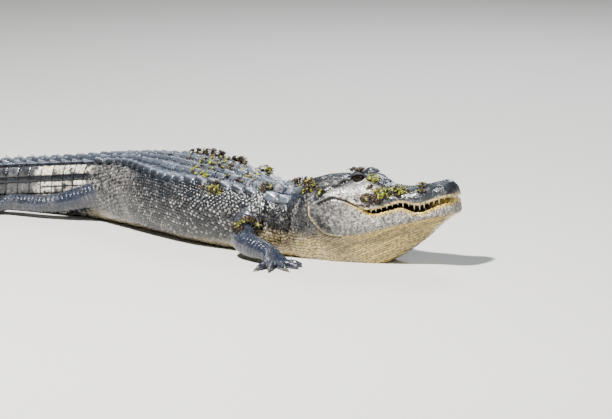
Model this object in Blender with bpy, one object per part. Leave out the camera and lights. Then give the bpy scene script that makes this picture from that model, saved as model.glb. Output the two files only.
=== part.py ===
"""American alligator, life size, lying on its belly with its head lifted and its hind leg trailing."""

from math import cos, pi, radians, sin

import bmesh
import bpy
import numpy as np

# Everything is in metres. A body place is (station, side, height): the station is measured backwards
# from the snout tip along the backbone, the side is positive to the animal's left, and z is up.
TOTAL_LENGTH = 2.45
ORIGIN_STATION = 0.86
GAP = 0.0003
SEED = 17

# Heading of the backbone, in degrees to the left of +X, at stations along the body.
HEADING = [
    (0.33, 28.3), (0.45, 14.0), (0.58, 4.9), (0.75, -4.9), (0.95, 1.8), (1.12, 19.9),
    (1.30, 26.0), (1.50, 30.6), (1.80, 27.0), (2.10, 15.0), (2.45, -6.0),
]

# Neck, trunk and tail at stations: half width, height of the skin's top, and height where it is widest.
HALF_WIDTH = [
    (0.36, 0.086), (0.42, 0.085), (0.50, 0.092), (0.58, 0.110), (0.70, 0.136), (0.85, 0.146),
    (1.00, 0.137), (1.10, 0.113), (1.17, 0.093), (1.25, 0.079), (1.40, 0.064), (1.60, 0.050),
    (1.80, 0.036), (2.00, 0.025), (2.20, 0.015), (2.35, 0.008), (2.45, 0.0035),
]
TOP_HEIGHT = [
    (0.36, 0.168), (0.42, 0.161), (0.50, 0.171), (0.58, 0.183), (0.70, 0.191), (0.85, 0.193),
    (1.00, 0.183), (1.10, 0.172), (1.17, 0.164), (1.25, 0.153), (1.40, 0.136), (1.60, 0.115),
    (1.80, 0.094), (2.00, 0.073), (2.20, 0.050), (2.35, 0.029), (2.45, 0.010),
]
WIDEST_SHARE = [(0.36, 0.46), (0.60, 0.42), (1.10, 0.42), (1.30, 0.46), (2.45, 0.46)]
UPPER_SQUARENESS = [(0.36, 2.2), (0.60, 2.3), (1.05, 2.3), (1.25, 2.8), (1.90, 2.4), (2.45, 2.0)]
LOWER_SQUARENESS = [(0.36, 2.3), (0.60, 2.7), (1.05, 2.7), (1.30, 2.2), (2.45, 2.0)]
BELLY_SAG = 0.006

# The head's own frame starts at the snout tip, runs back along the skull and turns about its rear.
SKULL_REAR = 0.33
SKULL_HEIGHT = 0.196
HEAD_PITCH = radians(6.96)
HEAD_ROLL = radians(2.1)
HEAD_LENGTH = 0.345
HEAD_HALF_WIDTH = [
    (0.0, 0.016), (0.004, 0.030), (0.010, 0.041), (0.020, 0.050), (0.040, 0.0565), (0.070, 0.0545),
    (0.100, 0.059), (0.140, 0.065), (0.180, 0.071), (0.220, 0.077), (0.260, 0.085), (0.300, 0.092),
    (0.325, 0.094), (0.345, 0.091),
]
SNOUT_TOP = [
    (0.0, -0.044), (0.004, -0.034), (0.010, -0.0270), (0.025, -0.0230), (0.041, -0.0220), (0.056, -0.0235),
    (0.072, -0.0260), (0.095, -0.0285), (0.120, -0.0300), (0.142, -0.0300), (0.160, -0.0285), (0.176, -0.0235),
    (0.190, -0.0135), (0.210, -0.002), (0.240, 0.001), (0.275, -0.001), (0.345, -0.005),
]
UPPER_LIP = [
    (0.0, -0.059), (0.015, -0.0600), (0.038, -0.0645), (0.056, -0.0695), (0.080, -0.0745), (0.094, -0.0735),
    (0.112, -0.0675), (0.128, -0.065), (0.160, -0.071), (0.200, -0.0775), (0.216, -0.075), (0.231, -0.068),
    (0.262, -0.050), (0.294, -0.0415), (0.325, -0.0495), (0.345, -0.055),
]
GAPE = [
    (0.0, 0.0110), (0.020, 0.0130), (0.050, 0.0150), (0.080, 0.0165), (0.107, 0.0170), (0.123, 0.013),
    (0.150, 0.0105), (0.190, 0.0095), (0.215, 0.005), (0.235, 0.0006), (0.345, 0.0006),
]
JAW_BOTTOM = [
    (0.0, -0.097), (0.013, -0.102), (0.033, -0.105), (0.058, -0.108), (0.095, -0.113), (0.131, -0.1185),
    (0.168, -0.124), (0.205, -0.131), (0.242, -0.1375), (0.278, -0.137), (0.301, -0.134), (0.325, -0.127),
    (0.345, -0.118),
]
THROAT = [
    (0.0, -0.099), (0.013, -0.106), (0.034, -0.116), (0.062, -0.134), (0.084, -0.151), (0.112, -0.169),
    (0.136, -0.183), (0.162, -0.197), (0.200, -0.212), (0.240, -0.225), (0.345, -0.225),
]
SKULL_SQUARENESS = [(0.0, 2.4), (0.10, 2.6), (0.20, 2.4), (0.30, 2.1), (0.345, 2.1)]

EYE_PLACE = (0.238, 0.0405, 0.000)
EYE_RADIUS = 0.0165
LID_THICKNESS = 0.003
BROW_RISE = 0.026
TABLE_HEIGHT = 0.0085
TABLE_HALF_WIDTH = 0.051

# Armour: rows of keeled plates across the back, whorls of crests along the tail.
FIRST_ROW = 0.520
ROW_SPACING = 0.037
ROWS = 18
ARMOUR_REACH = [  # from the middle of the back to the middle of the outermost plate, at stations
    (0.50, 0.060), (0.58, 0.074), (0.66, 0.088), (0.74, 0.102), (0.82, 0.108), (0.90, 0.101), (0.98, 0.086),
    (1.06, 0.066), (1.15, 0.055),
]
WIDE_ROWS = (0.62, 1.01)  # stations between which a row has eight plates instead of six
PLATE_LENGTH = 0.033
PLATE_RISE = 0.0022
PLATE_KEEL = 0.0048
OUTER_KEEL = 0.0084
NAPE_PLATES = [  # station, side, length, width of the shields on one side of the neck
    (0.425, 0.021, 0.034, 0.036), (0.462, 0.022, 0.038, 0.040), (0.462, 0.056, 0.034, 0.027),
    (0.425, 0.054, 0.028, 0.024), (0.388, 0.016, 0.024, 0.024), (0.388, 0.043, 0.022, 0.022),
]
NAPE_RISE = 0.003
NAPE_KEEL = 0.010
CREST_LENGTH = 0.030
DOUBLE_CREST = (0.010, 0.023)  # heights of the paired crests at the hip and at their last whorl
SINGLE_CREST = (0.030, 0.0084)  # heights of the single crests from the first to the last
WHORL_SPACING = 0.037
DOUBLE_WHORLS = 20
SINGLE_WHORLS = 13

# Teeth: their distances back from the snout tip
UPPER_TEETH = (
    0.0065, 0.016, 0.028, 0.041, 0.054, 0.068, 0.080, 0.093, 0.106, 0.120, 0.133, 0.147, 0.161, 0.175, 0.189,
)
LOWER_TEETH = (0.012, 0.022, 0.035, 0.048, 0.062)
TOOTH_LENGTH = 0.0105
TOOTH_RADIUS = 0.0028
LONG_TEETH = ((0.040, 0.010), (0.087, 0.012))  # where the two lobes of the lip carry longer teeth, and spread
LOBE_LENGTH = 0.004  # added there, and taken off the teeth behind REAR_TEETH
REAR_TEETH = (0.11, 0.15)
LOWER_TOOTH_LENGTH = 0.0085

# Legs: joints as body places (station, side, height), sizes as (share of the limb, half across, half tall),
# angles of the toes in degrees, palm and toe lengths, and the foot's turn from the limb's line in degrees.
FORE_JOINTS = ((0.515, 0.062, 0.095), (0.490, 0.130, 0.046), (0.398, 0.172, 0.028))
HIND_TRAILING = ((1.095, 0.070, 0.086), (1.262, 0.110, 0.043), (1.412, 0.104, 0.035))
HIND_FOLDED = ((1.095, 0.066, 0.080), (1.030, 0.185, 0.058), (1.150, 0.205, 0.036))
FORE_LIMB = {
    "sizes": [
        (0.0, 0.034, 0.038), (0.42, 0.029, 0.031), (0.52, 0.028, 0.030), (0.70, 0.027, 0.028),
        (1.0, 0.021, 0.020),
    ],
    "toes": (-58, -30, 0, 28, 54), "palm": 0.042, "toe": 0.058, "turn": 10,
}
HIND_LIMB = {
    "sizes": [
        (0.0, 0.038, 0.046), (0.22, 0.031, 0.034), (0.42, 0.0255, 0.0265), (0.62, 0.0225, 0.0235),
        (1.0, 0.020, 0.0205),
    ],
    "toes": (-34, -12, 12, 34), "palm": 0.065, "toe": 0.085, "turn": -8,
}
PALM_RINGS = ((0.45, 0.028, 0.018, 0.45), (0.8, 0.036, 0.013, 0.8), (1.0, 0.034, 0.009, 1.0))
TOE_SIZES = [(0, 0.0085, 0.009), (0.6, 0.0070, 0.0075), (1, 0.0045, 0.005)]
TOE_HEIGHTS = (0.008, 0.010, 0.007, 0.005)

# The cuts between nodes fall half way between rows of plates.
NECK_END = FIRST_ROW - 0.5 * ROW_SPACING
TRUNK_END = NECK_END + ROW_SPACING * ROWS
TAIL_ENDS = [TRUNK_END + WHORL_SPACING * whorls for whorls in (0, 9, 17, 25)] + [TOTAL_LENGTH]

SKIN_COLOUR = (0.085, 0.095, 0.105)
THROAT_COLOUR = (0.45, 0.40, 0.28)


def along(table, where):
    """Smooth value at a place through (place, value) pairs, without overshoot."""
    px, py = np.array(table, dtype=float).T
    where = np.clip(np.asarray(where, dtype=float), px[0], px[-1])
    step = np.diff(px)
    slope = np.diff(py) / step
    tangent = np.zeros_like(py)
    same = slope[:-1] * slope[1:] > 0
    pair = slope[:-1][same], slope[1:][same]
    tangent[1:-1][same] = 2 * pair[0] * pair[1] / (pair[0] + pair[1])
    tangent[0], tangent[-1] = slope[0], slope[-1]
    i = np.clip(np.searchsorted(px, where, side="right") - 1, 0, len(step) - 1)
    t = (where - px[i]) / step[i]
    rise = py[i] * (2 * t**3 - 3 * t**2 + 1) + py[i + 1] * (3 * t**2 - 2 * t**3)
    bend = tangent[i] * (t**3 - 2 * t**2 + t) + tangent[i + 1] * (t**3 - t**2)
    return rise + step[i] * bend


def ease(low, high, x):
    """Smooth step from 0 at low to 1 at high."""
    t = np.clip((np.asarray(x, dtype=float) - low) / (high - low), 0, 1)
    return t * t * (3 - 2 * t)


def backbone(step=0.0025):
    """Stations, X, Y and heading along the whole animal, with the origin under the trunk."""
    stations = np.arange(0.0, TOTAL_LENGTH + step, step)
    places, degrees = np.array(HEADING).T
    heading = np.radians(np.interp(stations, places, degrees))
    dx, dy = -np.cos(heading) * step, -np.sin(heading) * step
    x = np.concatenate([[0], np.cumsum((dx[1:] + dx[:-1]) / 2)])
    y = np.concatenate([[0], np.cumsum((dy[1:] + dy[:-1]) / 2)])
    x -= np.interp(ORIGIN_STATION, stations, x)
    y -= np.interp(ORIGIN_STATION, stations, y)
    return stations, x, y, heading


BACKBONE = backbone()


def place(station, side, height):
    """World points for body places; beyond either end the backbone runs on straight."""
    stations, xs, ys, headings = BACKBONE
    station = np.asarray(station, dtype=float)
    inside = np.clip(station, stations[0], stations[-1])
    heading = np.interp(inside, stations, headings)
    over = station - inside
    x = np.interp(inside, stations, xs) - over * np.cos(heading) - side * np.sin(heading)
    y = np.interp(inside, stations, ys) - over * np.sin(heading) + side * np.cos(heading)
    return np.stack([x, y, np.broadcast_to(height, x.shape)], axis=-1)


def head_place(back, side, up):
    """World points for head points: back from the snout tip, side to the left, up from the skull's rear.

    The head is rigid: it turns about the backbone's place at the rear of the skull.
    """
    side = np.asarray(side, dtype=float)
    tilted = up - side * sin(HEAD_ROLL)
    ahead = SKULL_REAR - np.asarray(back, dtype=float)
    height = SKULL_HEIGHT + tilted * cos(HEAD_PITCH) + ahead * sin(HEAD_PITCH)
    forward = ahead * cos(HEAD_PITCH) - tilted * sin(HEAD_PITCH)
    level = side * cos(HEAD_ROLL)
    origin = place(SKULL_REAR, 0.0, 0.0)
    heading = radians(HEADING[0][1])
    x = origin[0] + forward * cos(heading) - level * sin(heading)
    y = origin[1] + forward * sin(heading) + level * cos(heading)
    return np.stack([x, y, np.broadcast_to(height, x.shape)], axis=-1)


def above_floor(back, side, up):
    """Head heights kept at or above the floor without leaving the head's own cross plane."""
    ahead = SKULL_REAR - back
    floor = -(SKULL_HEIGHT + ahead * sin(HEAD_PITCH)) / cos(HEAD_PITCH) + side * sin(HEAD_ROLL)
    return np.maximum(up, floor)


def resample(points, count):
    """Evenly spaced points along a half outline, both ends kept."""
    lengths = np.concatenate([[0], np.cumsum(np.linalg.norm(np.diff(points, axis=0), axis=1))])
    wanted = np.linspace(0, lengths[-1], count)
    return np.stack([np.interp(wanted, lengths, points[:, k]) for k in range(2)], axis=1)


def mirrored(half):
    """Full ring from a half outline that runs from the top middle to the bottom middle."""
    other = half[-2:0:-1] * np.array([-1, 1])
    return np.concatenate([half, other])


def body_half(station, swell=0.0):
    """Half outline of neck, trunk or tail at a station: (side, height) from the back to the belly."""
    half_width = float(along(HALF_WIDTH, station)) + swell
    top = float(along(TOP_HEIGHT, station)) + swell
    widest = float(along(TOP_HEIGHT, station)) * float(along(WIDEST_SHARE, station))
    turn = np.linspace(0, pi, 121)
    upper = turn <= pi / 2
    power = 2 / np.where(upper, along(UPPER_SQUARENESS, station), along(LOWER_SQUARENESS, station))
    side = half_width * np.abs(np.sin(turn)) ** power
    lift = np.abs(np.cos(turn)) ** power
    drop = widest + BELLY_SAG + swell
    height = np.where(upper, widest + (top - widest) * lift, widest - drop * lift)
    return np.stack([side, height], axis=1)


def body_ring(station, count, swell=0.0, floor=0.0):
    half = body_half(station, swell)
    half[:, 1] = np.maximum(half[:, 1], floor)
    ring = mirrored(resample(half, count))
    return place(np.full(len(ring), station), ring[:, 0], ring[:, 1])


def skull_rise(back, side):
    """Brow mounds, skull table, snout ridges and nostril mound, added to the head's upper surface."""
    side = np.abs(side)
    brow = BROW_RISE * np.exp(-(((back - 0.238) / 0.027) ** 2) - ((side - 0.040) / 0.0165) ** 2)
    ridge_line = np.interp(back, [0.13, 0.21], [0.020, 0.036])
    ridge = 0.005 * ease(0.12, 0.17, back) * (1 - ease(0.20, 0.225, back))
    ridge = ridge * np.exp(-(((side - ridge_line) / 0.008) ** 2))
    nostril = 0.004 * np.exp(-(((back - 0.024) / 0.013) ** 2) - ((side - 0.010) / 0.010) ** 2)
    return brow + ridge + nostril


def skull_half(back):
    """Half outline of the upper head from the middle of its top to the lip, in head coordinates."""
    half_width = float(along(HEAD_HALF_WIDTH, back))
    lip = float(along(UPPER_LIP, back))
    top = float(along(SNOUT_TOP, back))
    power = 2 / float(along(SKULL_SQUARENESS, back))
    turn = np.linspace(0, pi / 2, 81)
    side = half_width * np.sin(turn) ** power
    up = lip + (top - lip) * np.cos(turn) ** power
    up = up + skull_rise(back, side) * np.cos(turn) ** 0.35
    table = float(ease(0.258, 0.278, back))
    edge = (1 - ease(TABLE_HALF_WIDTH - 0.005, TABLE_HALF_WIDTH + 0.003, side)) * table
    up = up + (np.maximum(up, TABLE_HEIGHT) - up) * edge
    return np.stack([side, up], axis=1)


def jaw_half(back):
    """Half outline of the lower jaw and throat from the lip to the middle underneath."""
    half_width = float(along(HEAD_HALF_WIDTH, back))
    lip = float(along(UPPER_LIP, back)) - float(along(GAPE, back))
    inset = 0.006 * (1 - float(ease(0.21, 0.25, back)))
    jaw = float(along(JAW_BOTTOM, back))
    throat = min(float(along(THROAT, back)), jaw - 0.002)
    sag = jaw - throat
    keys = np.array([
        (half_width - inset, lip),
        (half_width - 0.5 * inset, 0.6 * lip + 0.4 * jaw),
        (0.955 * half_width, jaw + 0.22 * (lip - jaw)),
        (0.86 * half_width, jaw + 0.02 * (lip - jaw)),
        (0.74 * half_width, jaw - 0.16 * sag),
        (0.65 * half_width, jaw - 0.50 * sag),
        (0.55 * half_width, jaw - 0.85 * sag),
        (0.35 * half_width, throat),
        (0.0, throat),
    ])
    return smooth_line(keys, 9)


def smooth_line(keys, per_span):
    """Catmull-Rom curve through key points of any dimension."""
    keys = np.asarray(keys, dtype=float)
    padded = np.concatenate([[2 * keys[0] - keys[1]], keys, [2 * keys[-1] - keys[-2]]])
    spans = []
    for i in range(1, len(keys)):
        a, b, c, d = padded[i - 1:i + 3]
        t = np.linspace(0, 1, per_span, endpoint=False)[:, None]
        square, cube = 2 * a - 5 * b + 4 * c - d, 3 * b - a - 3 * c + d
        spans.append(0.5 * (2 * b + (c - a) * t + square * t**2 + cube * t**3))
    return np.concatenate(spans + [keys[-1:]])


def head_ring(back, count):
    """Ring of the upper head: over the top from lip to lip, then back along the palate."""
    half_width = float(along(HEAD_HALF_WIDTH, back))
    lip = float(along(UPPER_LIP, back))
    arch = 0.006 * float(ease(0.0, 0.03, back) * (1 - ease(0.20, 0.24, back)))
    over = resample(skull_half(back), count)
    under = np.array([(half_width * share, lip + arch) for share in (0.80, 0.45, 0.0)])
    ring = mirrored(np.concatenate([over, under]))
    return head_place(np.full(len(ring), back), ring[:, 0], ring[:, 1])


def jaw_ring(back, count):
    """Ring of the lower jaw: along the mouth's floor, out to the lip, and down round the throat."""
    half_width = float(along(HEAD_HALF_WIDTH, back))
    lip = float(along(UPPER_LIP, back)) - float(along(GAPE, back))
    dish = 0.007 * float(ease(0.005, 0.03, back) * (1 - ease(0.19, 0.23, back)))
    floor = np.array([(half_width * share, lip - dish) for share in (0.0, 0.42, 0.76)])
    ring = mirrored(np.concatenate([floor, resample(jaw_half(back), count)]))
    up = above_floor(back, ring[:, 0], ring[:, 1])
    return head_place(np.full(len(ring), back), ring[:, 0], up)


def neck_ring(station, count):
    """Ring behind the head that turns from the head's whole outline into the neck's."""
    rear = np.concatenate([skull_half(HEAD_LENGTH), jaw_half(HEAD_LENGTH)[1:]])
    rear = mirrored(resample(rear, count))
    up = above_floor(HEAD_LENGTH + GAP, rear[:, 0], rear[:, 1])
    start = head_place(np.full(len(rear), HEAD_LENGTH + GAP), rear[:, 0], up)
    start = start + place(station, 0.0, 0.0) - place(HEAD_LENGTH, 0.0, 0.0)
    blend = float(ease(HEAD_LENGTH, HEAD_LENGTH + 0.075, station))
    points = (1 - blend) * start + blend * body_ring(station, count)
    points[:, 2] = np.maximum(points[:, 2], 0)
    return points


def mesh_from(name, points, faces):
    mesh = bpy.data.meshes.new(name)
    mesh.from_pydata([tuple(float(c) for c in p) for p in points], [], faces)
    mesh.validate()
    work = bmesh.new()
    work.from_mesh(mesh)
    bmesh.ops.remove_doubles(work, verts=work.verts, dist=1e-6)
    bmesh.ops.dissolve_degenerate(work, edges=work.edges, dist=1e-6)
    bmesh.ops.recalc_face_normals(work, faces=work.faces)
    if work.calc_volume(signed=True) < 0:
        bmesh.ops.reverse_faces(work, faces=work.faces)
    work.to_mesh(mesh)
    work.free()
    item = bpy.data.objects.new(name, mesh)
    bpy.context.scene.collection.objects.link(item)
    return item


def loft(name, rings):
    """Closed solid through rings of equal length, its ends closed by fans."""
    count = len(rings[0])
    points = [p for ring in rings for p in ring]
    faces = []
    for r in range(len(rings) - 1):
        for k in range(count):
            a, b = r * count + k, r * count + (k + 1) % count
            faces.append((a, b, b + count, a + count))
    for ring, start in ((rings[0], 0), (rings[-1], (len(rings) - 1) * count)):
        centre = len(points)
        points.append(np.mean(ring, axis=0))
        faces += [(start + k, start + (k + 1) % count, centre) for k in range(count)]
    return mesh_from(name, points, faces)


def apply_boolean(target, tools, operation):
    """One Boolean of a collection of closed meshes on the target, applied, and the tools removed."""
    group = bpy.data.collections.new("tools")
    bpy.context.scene.collection.children.link(group)
    for tool in tools:
        bpy.context.scene.collection.objects.unlink(tool)
        group.objects.link(tool)
    cut = target.modifiers.new("join", "BOOLEAN")
    cut.operand_type = "COLLECTION"
    cut.collection = group
    cut.operation = operation
    cut.solver = "EXACT"
    cut.use_self = operation == "UNION"
    shape = target.evaluated_get(bpy.context.evaluated_depsgraph_get())
    mesh = bpy.data.meshes.new_from_object(shape)
    target.modifiers.clear()
    target.data = mesh
    for tool in tools:
        bpy.data.objects.remove(tool)
    bpy.data.collections.remove(group)
    keep_largest(mesh)


def keep_largest(mesh):
    """Keep only the largest closed surface of a mesh, as triangles."""
    work = bmesh.new()
    work.from_mesh(mesh)
    bmesh.ops.triangulate(work, faces=work.faces)
    bmesh.ops.remove_doubles(work, verts=work.verts, dist=2e-6)
    bmesh.ops.dissolve_degenerate(work, edges=work.edges, dist=2e-6)
    bmesh.ops.triangulate(work, faces=work.faces)
    waiting = set(work.verts)
    shells = []
    while waiting:
        shell, queue = set(), [waiting.pop()]
        while queue:
            vert = queue.pop()
            shell.add(vert)
            for edge in vert.link_edges:
                other = edge.other_vert(vert)
                if other in waiting:
                    waiting.discard(other)
                    queue.append(other)
        shells.append(shell)
    shells.sort(key=len)
    for shell in shells[:-1]:
        bmesh.ops.delete(work, geom=list(shell), context="VERTS")
    work.to_mesh(mesh)
    work.free()


def finish(item, colour, roughness):
    """Give a node its own material and smooth shading."""
    material = bpy.data.materials.new(item.name)
    material.use_nodes = True
    shader = material.node_tree.nodes["Principled BSDF"]
    shader.inputs["Base Color"].default_value = (*colour, 1)
    shader.inputs["Roughness"].default_value = roughness
    shader.inputs["Metallic"].default_value = 0
    item.data.materials.clear()
    item.data.materials.append(material)
    item.data.shade_smooth()
    item.data.set_sharp_from_angle(angle=radians(40))
    return item


def frame_at(point, ahead, outward):
    """Unit axes on a surface: forward, left and outward."""
    forward = ahead / np.linalg.norm(ahead)
    outward = outward - forward * np.dot(outward, forward)
    outward = outward / np.linalg.norm(outward)
    return point, forward, np.cross(outward, forward), outward


# Faces shared by plates and crests: base corners 0 to 3, shoulder corners 4 to 7, and the ridge 8 to 9.
PLATE_FACES = [
    (3, 2, 1, 0), (0, 1, 5, 4), (1, 2, 6, 5), (2, 3, 7, 6), (3, 0, 4, 7),
    (4, 5, 9, 8), (5, 6, 9), (6, 7, 8, 9), (7, 4, 8),
]


def surface_frame(ring, station, side):
    """Frame on the back at a station and a side offset, with its forward axis towards the head."""
    count, delta = 61, 0.004
    way = 1 if side >= 0 else -1

    def spot(at, index):
        half = ring(at, count)[(way * np.arange(count)) % (2 * count - 2)]
        return np.array([np.interp(index, np.arange(count), half[:, k]) for k in range(3)])

    half = ring(station, count)[(way * np.arange(count)) % (2 * count - 2)]
    reach = np.linalg.norm(half[:, :2] - half[0, :2], axis=1)[:count // 2]
    index = float(np.interp(abs(side), reach, np.arange(count // 2)))
    here = spot(station, index)
    ahead = spot(station - delta, index) - spot(station + delta, index)
    left = (spot(station, index + 0.7) - spot(station, max(index - 0.7, 0.0))) * way
    return frame_at(here, ahead, np.cross(ahead, left))


def keeled_plate(frame, length, width, rise, keel, sink=0.006):
    """Low four-sided plate with a keel that is highest near its rear, its root below the skin."""
    origin, forward, left, outward = frame
    edge = [(0.48, 0.44), (-0.50, 0.47), (-0.50, -0.47), (0.48, -0.44)]
    points = []
    for up, shrink in ((-sink, 1.0), (rise, 0.86)):
        for a, b in edge:
            points.append(origin + forward * a * length * shrink + left * b * width * shrink + outward * up)
    points.append(origin + forward * 0.26 * length + outward * (rise + 0.35 * keel))
    points.append(origin - forward * 0.30 * length + outward * (rise + keel))
    return mesh_from("plate", points, PLATE_FACES)


def crest_plate(frame, length, height, thick, lean, sink=0.010):
    """Upright triangular crest scute, its peak towards the rear, leaning to the side."""
    origin, forward, left, outward = frame
    base = [(0.50, 0.38), (-0.50, 0.46), (-0.50, -0.46), (0.50, -0.38)]
    points = []
    for up, shrink in ((-sink, 1.0), (0.28 * height, 0.80)):
        for a, b in base:
            shift = left * lean * max(up, 0)
            flat = forward * a * length * shrink + left * b * thick * shrink
            points.append(origin + flat + outward * up + shift)
    for a, up in ((0.05, 0.72), (-0.42, 1.0)):
        points.append(origin + forward * a * length + outward * up * height + left * lean * up * height)
    return mesh_from("crest", points, PLATE_FACES)


def cone(tip, root, radius, sides=4):
    """Tapered tooth or claw from its sunk root to its tip."""
    tip, root = np.asarray(tip, dtype=float), np.asarray(root, dtype=float)
    axis = (tip - root) / np.linalg.norm(tip - root)
    first = np.cross(axis, (0.31, 0.87, 0.38))
    first = first / np.linalg.norm(first)
    second = np.cross(axis, first)
    turns = 2 * pi * np.arange(sides) / sides
    points = [root + first * cos(turn) * radius + second * sin(turn) * radius for turn in turns]
    points.append(tip)
    faces = [tuple(range(sides))] + [(k, (k + 1) % sides, sides) for k in range(sides)]
    return mesh_from("cone", points, faces)


def stations_between(start, end, spacing):
    count = max(2, round((end - start) / spacing) + 1)
    return np.linspace(start, end, count)


def body_node(name, start, end, spacing, count):
    rings = [body_ring(s, count) for s in stations_between(start, end, spacing)]
    return loft(name, rings)


def armour_columns(station):
    """Side offsets of the keeled plates in one row, left half only, and the plates' width."""
    reach = float(along(ARMOUR_REACH, station))
    half = 4 if WIDE_ROWS[0] < station < WIDE_ROWS[1] else 3
    width = reach / (half - 0.5)
    return [width * (k + 0.5) for k in range(half)], width


def back_plates(draw):
    plates = []
    for row in range(ROWS):
        station = FIRST_ROW + ROW_SPACING * row
        columns, width = armour_columns(station)
        for offset in columns:
            for side in (offset, -offset):
                keel = (OUTER_KEEL if offset == columns[-1] else PLATE_KEEL) * draw.uniform(0.85, 1.15)
                frame = surface_frame(body_ring, station + draw.uniform(-0.001, 0.001), side)
                plates.append(keeled_plate(frame, PLATE_LENGTH, width * 0.95, PLATE_RISE, keel))
    return plates


def nape_plates(draw):
    """Large plates on the neck in two rows with a smaller pair ahead, and small ones behind the skull."""
    plates = []
    for station, side, length, width in NAPE_PLATES:
        for way in (1, -1):
            frame = surface_frame(neck_ring, station, side * way)
            plates.append(keeled_plate(frame, length, width, NAPE_RISE, NAPE_KEEL * draw.uniform(0.9, 1.1)))
    return plates


def tail_crests(start, end, draw):
    """Paired crests along the first whorls, one crest along the rest, within two stations."""
    crests = []
    for whorl in range(DOUBLE_WHORLS + SINGLE_WHORLS):
        station = TRUNK_END + 0.5 * ROW_SPACING + WHORL_SPACING * whorl
        if not start < station < end:
            continue
        half_width = float(along(HALF_WIDTH, station))
        if whorl < DOUBLE_WHORLS:
            low, high = DOUBLE_CREST
            height = (low + (high - low) * ease(0, DOUBLE_WHORLS, whorl)) * draw.uniform(0.92, 1.08)
            offset = half_width * 0.62 * (1 - 0.75 * float(ease(11, DOUBLE_WHORLS, whorl)))
            lean = 0.55 * (1 - float(ease(8, DOUBLE_WHORLS, whorl)))
            for way in (1, -1):
                frame = surface_frame(body_ring, station, offset * way)
                upright = frame_at(frame[0], frame[1], np.array([0, 0, 1.0]))
                crests.append(crest_plate(upright, CREST_LENGTH, height, 0.009, lean * way))
        else:
            share = (whorl - DOUBLE_WHORLS) / SINGLE_WHORLS
            high, low = SINGLE_CREST
            height = (high + (low - high) * share) * draw.uniform(0.94, 1.06)
            frame = surface_frame(body_ring, station, 0.0)
            length = CREST_LENGTH * (1 - 0.15 * share)
            crests.append(crest_plate(frame, length, height, 0.008 - 0.004 * share, 0.0, 0.006))
        if whorl < 12:
            for way in (1, -1):
                frame = surface_frame(body_ring, station, half_width * 0.20 * way)
                keel = PLATE_KEEL * (1 - whorl / 14)
                crests.append(keeled_plate(frame, PLATE_LENGTH - 0.002, half_width * 0.30, 0.002, keel))
    return crests


def build_trunk(draw):
    neck_rings = [neck_ring(s, 13) for s in stations_between(HEAD_LENGTH, NECK_END, 0.018)]
    neck = loft("neck", neck_rings)
    apply_boolean(neck, nape_plates(draw), "UNION")
    finish(neck, SKIN_COLOUR, 0.5)
    torso = body_node("torso", NECK_END + GAP, TRUNK_END, 0.036, 13)
    apply_boolean(torso, back_plates(draw), "UNION")
    finish(torso, SKIN_COLOUR, 0.5)
    spacing = (0.034, 0.040, 0.045, 0.045)
    for k in range(4):
        name = f"tail_{k + 1}"
        start = TAIL_ENDS[k] + GAP
        tail = body_node(name, start, TAIL_ENDS[k + 1], spacing[k], (11, 10, 9, 8)[k])
        apply_boolean(tail, tail_crests(TAIL_ENDS[k], TAIL_ENDS[k + 1], draw), "UNION")
        finish(tail, SKIN_COLOUR, 0.5)


def head_stations():
    return np.concatenate([
        [0.0, 0.004, 0.010, 0.019], np.linspace(0.031, 0.203, 12),
        np.linspace(0.214, 0.276, 7), np.linspace(0.292, HEAD_LENGTH, 4),
    ])


def ball(name, centre, radius, segments, rings, stretch=(1, 1, 1)):
    """Closed ball, which may be stretched along the head's own axes."""
    points, faces = [], []
    for r in range(rings + 1):
        up = pi * r / rings
        for k in range(segments if 0 < r < rings else 1):
            turn = 2 * pi * k / segments
            points.append((sin(up) * cos(turn), sin(up) * sin(turn), cos(up)))
    for k in range(segments):
        following = (k + 1) % segments
        faces.append((0, 1 + k, 1 + following))
        last = len(points) - 1
        faces.append((last, last - segments + following, last - segments + k))
        for r in range(rings - 2):
            a = 1 + r * segments
            faces.append((a + k, a + segments + k, a + segments + following, a + following))
    shaped = np.array(points) * np.array(stretch) * radius
    back, side, up = centre
    world = head_place(back - shaped[:, 0], side + shaped[:, 1], up + shaped[:, 2])
    return mesh_from(name, world, faces)


def upper_teeth(draw):
    """Teeth of the upper jaw outside the lower lip, longest under the two lobes of the lip."""
    teeth = []
    for back in UPPER_TEETH:
        lobes = sum(np.exp(-(((back - middle) / spread) ** 2)) for middle, spread in LONG_TEETH)
        length = TOOTH_LENGTH + LOBE_LENGTH * (lobes - float(ease(*REAR_TEETH, back)))
        length *= draw.uniform(0.88, 1.1)
        half_width = float(along(HEAD_HALF_WIDTH, back)) - 0.0032
        lip = float(along(UPPER_LIP, back))
        for way in (1, -1):
            root = head_place(back, half_width * way, lip + 0.006)
            tip = head_place(back + 0.001, (half_width + 0.0018) * way, lip - length)
            teeth.append(cone(tip, root, TOOTH_RADIUS * (1.2 if length > TOOTH_LENGTH else 1.0)))
    return teeth


def lower_teeth(draw):
    """Short teeth of the lower jaw that show at the front, leaning inside the upper ones."""
    teeth = []
    for back in LOWER_TEETH:
        half_width = (float(along(HEAD_HALF_WIDTH, back)) - 0.006) * 0.86
        lip = float(along(UPPER_LIP, back)) - float(along(GAPE, back))
        for way in (1, -1):
            root = head_place(back, half_width * way, lip - 0.008)
            reach = LOWER_TOOTH_LENGTH * draw.uniform(0.85, 1.0)
            tip = head_place(back - 0.001, half_width * way, lip + reach)
            teeth.append(cone(tip, root, TOOTH_RADIUS))
    return teeth


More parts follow.
